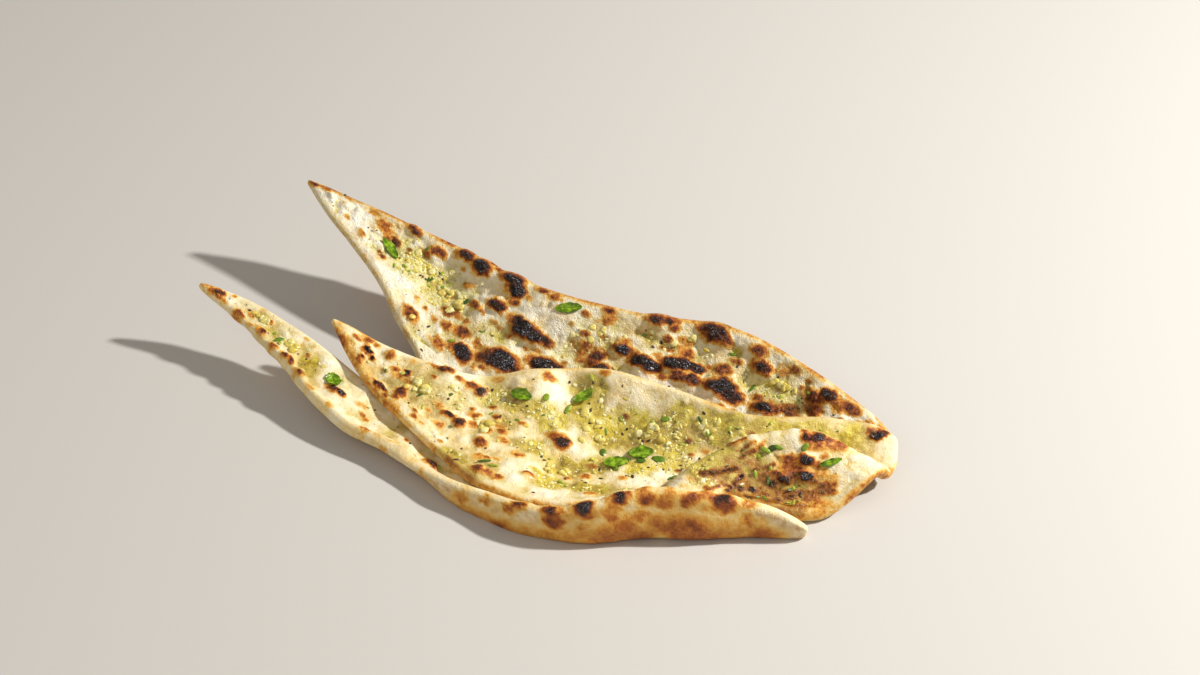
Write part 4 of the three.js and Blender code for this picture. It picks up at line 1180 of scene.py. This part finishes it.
# along, across, radius of the largest dark bits
DARK_BITS = [
    (middle_slice, [
        (0.385, 0.27, 1.1), (0.495, 0.22, 1.7), (0.585, 0.31, 1.3), (0.592, 0.33, 1.2), (0.602, 0.32, 1.1),
        (0.680, 0.07, 1.5), (0.675, 0.40, 1.2), (0.690, 0.40, 1.4), (0.520, 0.30, 0.9), (0.345, 0.38, 1.2),
        (0.560, 0.47, 1.3), (0.310, 0.95, 1.7), (0.540, 0.58, 1.0), (0.615, 0.55, 1.2)]),
    (back_slice, [
        (0.40, 0.36, 0.9), (0.595, 0.10, 0.8), (0.245, 0.42, 1.1), (0.255, 0.40, 1.0), (0.280, 0.28, 1.1),
        (0.270, 0.26, 1.2)]),
    (front_slice, [(0.39, 0.42, 0.8), (0.205, 0.55, 0.7), (0.12, 0.30, 0.6)]),
    (middle_slice, [(0.72, 0.72, 1.2)]),
]

speck_random = np.random.default_rng(19)
speck_rows = []
for point, normal in scattered_places(
        speck_random, SPECKS, (0.36, 0.5, 0.14), 5, lambda _, face: 0.15 + 0.85 * face["butter"]):
    size = mostly_small(speck_random, smallest=0.16, spread=0.5, power=2.5)
    flat = size * np.array([speck_random.uniform(1.0, 1.9), 1, 0.6])
    speck_rows.append((point, normal, flat, speck_random.uniform(0, math.pi), speck_random.uniform(0, 1)))
for point, normal, (*_, radius) in places_on(DARK_BITS):
    speck_rows.append((point, normal, radius * DARK_BIT_SHAPE,
                       speck_random.uniform(0, math.pi), speck_random.uniform(0, 0.6)))
place_object(
    bits_mesh("pepper_and_char_specks", round_shape(2), speck_rows, speck_random, 0.5),
    bits_material(
        "dark specks",
        [(0.0, 34, 24, 16), (0.4, 66, 42, 22), (0.8, 112, 70, 30), (1.0, 156, 108, 50)],
        roughness=0.5, coat=0.2, glow=0.0,
    ),
)

# Coriander leaves: eight large pieces of fresh leaf, torn and dropped on the hot bread.
# Each is a thin wavy blade with a midrib that follows the dough under it.

LEAF_THICKNESS = 0.6
LEAF_LIFT = 0.75  # mm from the smooth dough to the underside of a leaf
LEAF_CELLS = (44, 28)
# slice, along, across, length, width, heading in degrees
LEAVES = [
    (back_slice, 0.185, 0.47, 12, 6.5, 10), (back_slice, 0.485, 0.07, 12, 5.5, -20),
    (middle_slice, 0.368, 0.21, 10, 6, 15), (middle_slice, 0.476, 0.15, 9.5, 6, -40),
    (middle_slice, 0.562, 0.53, 10.5, 7.5, -5), (middle_slice, 0.597, 0.43, 10.5, 8, -15),
    (middle_slice, 0.888, 0.57, 10, 3.4, 10), (front_slice, 0.325, 0.48, 9, 7.5, 25),
]


def leaf_blade(name, piece, along, across, length, width, degrees):
    """A leaf over the dough, with lobes on its outline, a sunk midrib and raised side fields."""
    columns, rows = LEAF_CELLS
    heading = math.radians(degrees)
    phase = middle(piece, along, across)[0]
    lengthwise, crosswise, _ = directions(piece, np.array([along]), np.array([across]))
    u, v = np.meshgrid(np.linspace(-1, 1, columns + 1), np.linspace(-1, 1, rows + 1), indexing="ij")
    lobes = 1 - 0.14 * (0.5 + 0.5 * np.cos(9.5 * u + phase))
    half_width = width / 2 * np.cos(math.pi / 2 * u * 0.96) ** 0.7 * lobes
    forward, sideways = length / 2 * u, half_width * v
    a = forward * math.cos(heading) - sideways * math.sin(heading)
    b = forward * math.sin(heading) + sideways * math.cos(heading)
    place = dough(piece, along + a / np.linalg.norm(lengthwise), across + b / np.linalg.norm(crosswise))
    side_veins = np.abs(np.sin(8.5 * (u - 0.55 * np.abs(v)) + 0.4))
    wave = 0.5 * v * v + 0.35 * np.sin(3 * u + phase) ** 2
    wave -= 0.35 * np.exp(-((v / 0.09) ** 2)) + 0.16 * np.exp(-((side_veins / 0.22) ** 2)) * (1 - v * v)
    blade = np.ones_like(u)
    blade[[0, -1], :] = 0
    blade[:, [0, -1]] = 0
    lift = place["above"] + LEAF_LIFT + wave
    top, under = (place["point"] + place["normal"] * (lift + more)[..., None]
                  for more in (LEAF_THICKNESS * (0.3 + 0.7 * blade), 0.3 * LEAF_THICKNESS * (1 - blade)))
    vein = np.maximum(np.exp(-((v / 0.07) ** 2)), 0.6 * np.exp(-((side_veins / 0.14) ** 2)))
    return sheet_mesh(name, top, under, {"vein": (vein, 0.5 * vein), "margin": (np.abs(v), np.abs(v))})


def leaf_material(name):
    """A mottled green blade with paler veins and a darker margin."""
    material, shader = new_material(name, {
        "Roughness": 0.4, "Specular IOR Level": 0.3, "Coat Weight": 0.12, "Subsurface Weight": 0.15,
        "Subsurface Radius": (0.4, 1.0, 0.2), "Subsurface Scale": 0.8 * MM})
    tree = material.node_tree
    mottle = place_group(tree, fine_mottle, {"Tint": 0.5, "Scale": 420.0, "Change": 1.0})
    blade = ramp_node(tree, mottle["Shade"], [
        (0.30, 56, 88, 4), (0.50, 112, 150, 8), (0.68, 180, 212, 58)])
    veins = math_node(tree, "MULTIPLY", value_reader(tree, "vein"), 0.5)
    margin = math_node(tree, "MULTIPLY", value_reader(tree, "margin"), 0.35)
    colour = mix_colours(tree, veins, blade, srgb(158, 186, 66))
    colour = mix_colours(tree, margin, colour, srgb(44, 74, 6))
    tree.links.new(colour, shader.inputs["Base Color"])
    bump_into(tree, shader, mottle["Height"], strength=0.5, depth_mm=0.3)
    return material


fresh_leaf = leaf_material("fresh coriander")
for number, leaf in enumerate(LEAVES, start=1):
    place_object(leaf_blade(f"torn_coriander_{number}", *leaf), fresh_leaf,
                 f"coriander_leaf_{number}")

# Herb scraps: fine chopped coriander leaf and stalk, 1 to 4 mm, stirred into the butter.
# They stick to the wet dough at all angles.

SCRAPS = 130
SCRAP_LIFT = 0.2  # mm from the dough to the middle of a scrap
SCRAP_HALF = 0.16  # mm, half the thickness of a scrap
LARGE_SCRAP_LIFT = 0.45
LARGE_SCRAP_HALF = 0.3
# along, across, half length, half width, turn in degrees
LARGE_SCRAPS = [
    (middle_slice, [
        (0.585, 0.42, 3.2, 2.0, 20), (0.413, 0.20, 1.9, 1.5, 60), (0.62, 0.17, 2.2, 1.2, 0),
        (0.66, 0.65, 2.6, 1.2, 10), (0.355, 0.80, 3.0, 0.8, 10), (0.375, 0.82, 2.6, 0.6, 0),
        (0.790, 0.47, 2.6, 1.1, -30), (0.808, 0.44, 2.2, 0.9, -20), (0.800, 0.45, 2.0, 1.3, 20),
        (0.783, 0.51, 1.6, 1.0, 60), (0.846, 0.44, 2.4, 1.3, 50), (0.60, 0.50, 2.2, 1.4, 0),
        (0.625, 0.46, 3.0, 1.6, -10), (0.535, 0.44, 1.3, 2.2, 0)]),
    (front_slice, [(0.226, 0.66, 2.6, 1.0, 20)]),
    (back_slice, [
        (0.335, 0.30, 1.7, 1.1, 50), (0.262, 0.36, 2.0, 1.2, 20), (0.195, 0.52, 2.0, 1.2, -40),
        (0.345, 0.60, 1.4, 0.9, 0)]),
    (middle_slice, [(0.455, 0.24, 2.6, 1.0, 60), (0.135, 0.55, 1.2, 0.6, 90)]),
]

scrap_random = np.random.default_rng(29)
scrap_rows = []
for point, normal in scattered_places(
        scrap_random, SCRAPS, (0.3, 0.6, 0.1), 12, lambda _, face: np.clip(face["butter"] - 0.2, 0.01, 1)):
    size = mostly_small(scrap_random, smallest=0.35, spread=0.8, power=2)
    lean = unit(normal + scrap_random.uniform(-0.5, 0.5, 3))
    flat = np.array([size * scrap_random.uniform(1.0, 2.2), size * 0.7, SCRAP_HALF])
    scrap_rows.append((point + SCRAP_LIFT * normal, lean, flat, scrap_random.uniform(0, math.pi),
                       scrap_random.uniform(0, 1)))
for point, normal, (*_, half_length, half_width, degrees) in places_on(LARGE_SCRAPS):
    flat = np.array([half_length, half_width, LARGE_SCRAP_HALF])
    scrap_rows.append((point + LARGE_SCRAP_LIFT * normal, normal, flat, math.radians(degrees),
                       scrap_random.uniform(0, 0.7)))
place_object(
    bits_mesh("chopped_herb_scraps", round_shape(2), scrap_rows, scrap_random, 0.35),
    bits_material(
        "chopped herb",
        [(0.0, 44, 72, 6), (0.35, 84, 118, 12), (0.7, 144, 166, 34), (1.0, 196, 200, 74)],
        roughness=0.45, coat=0.08, glow=0.1,
    ),
)
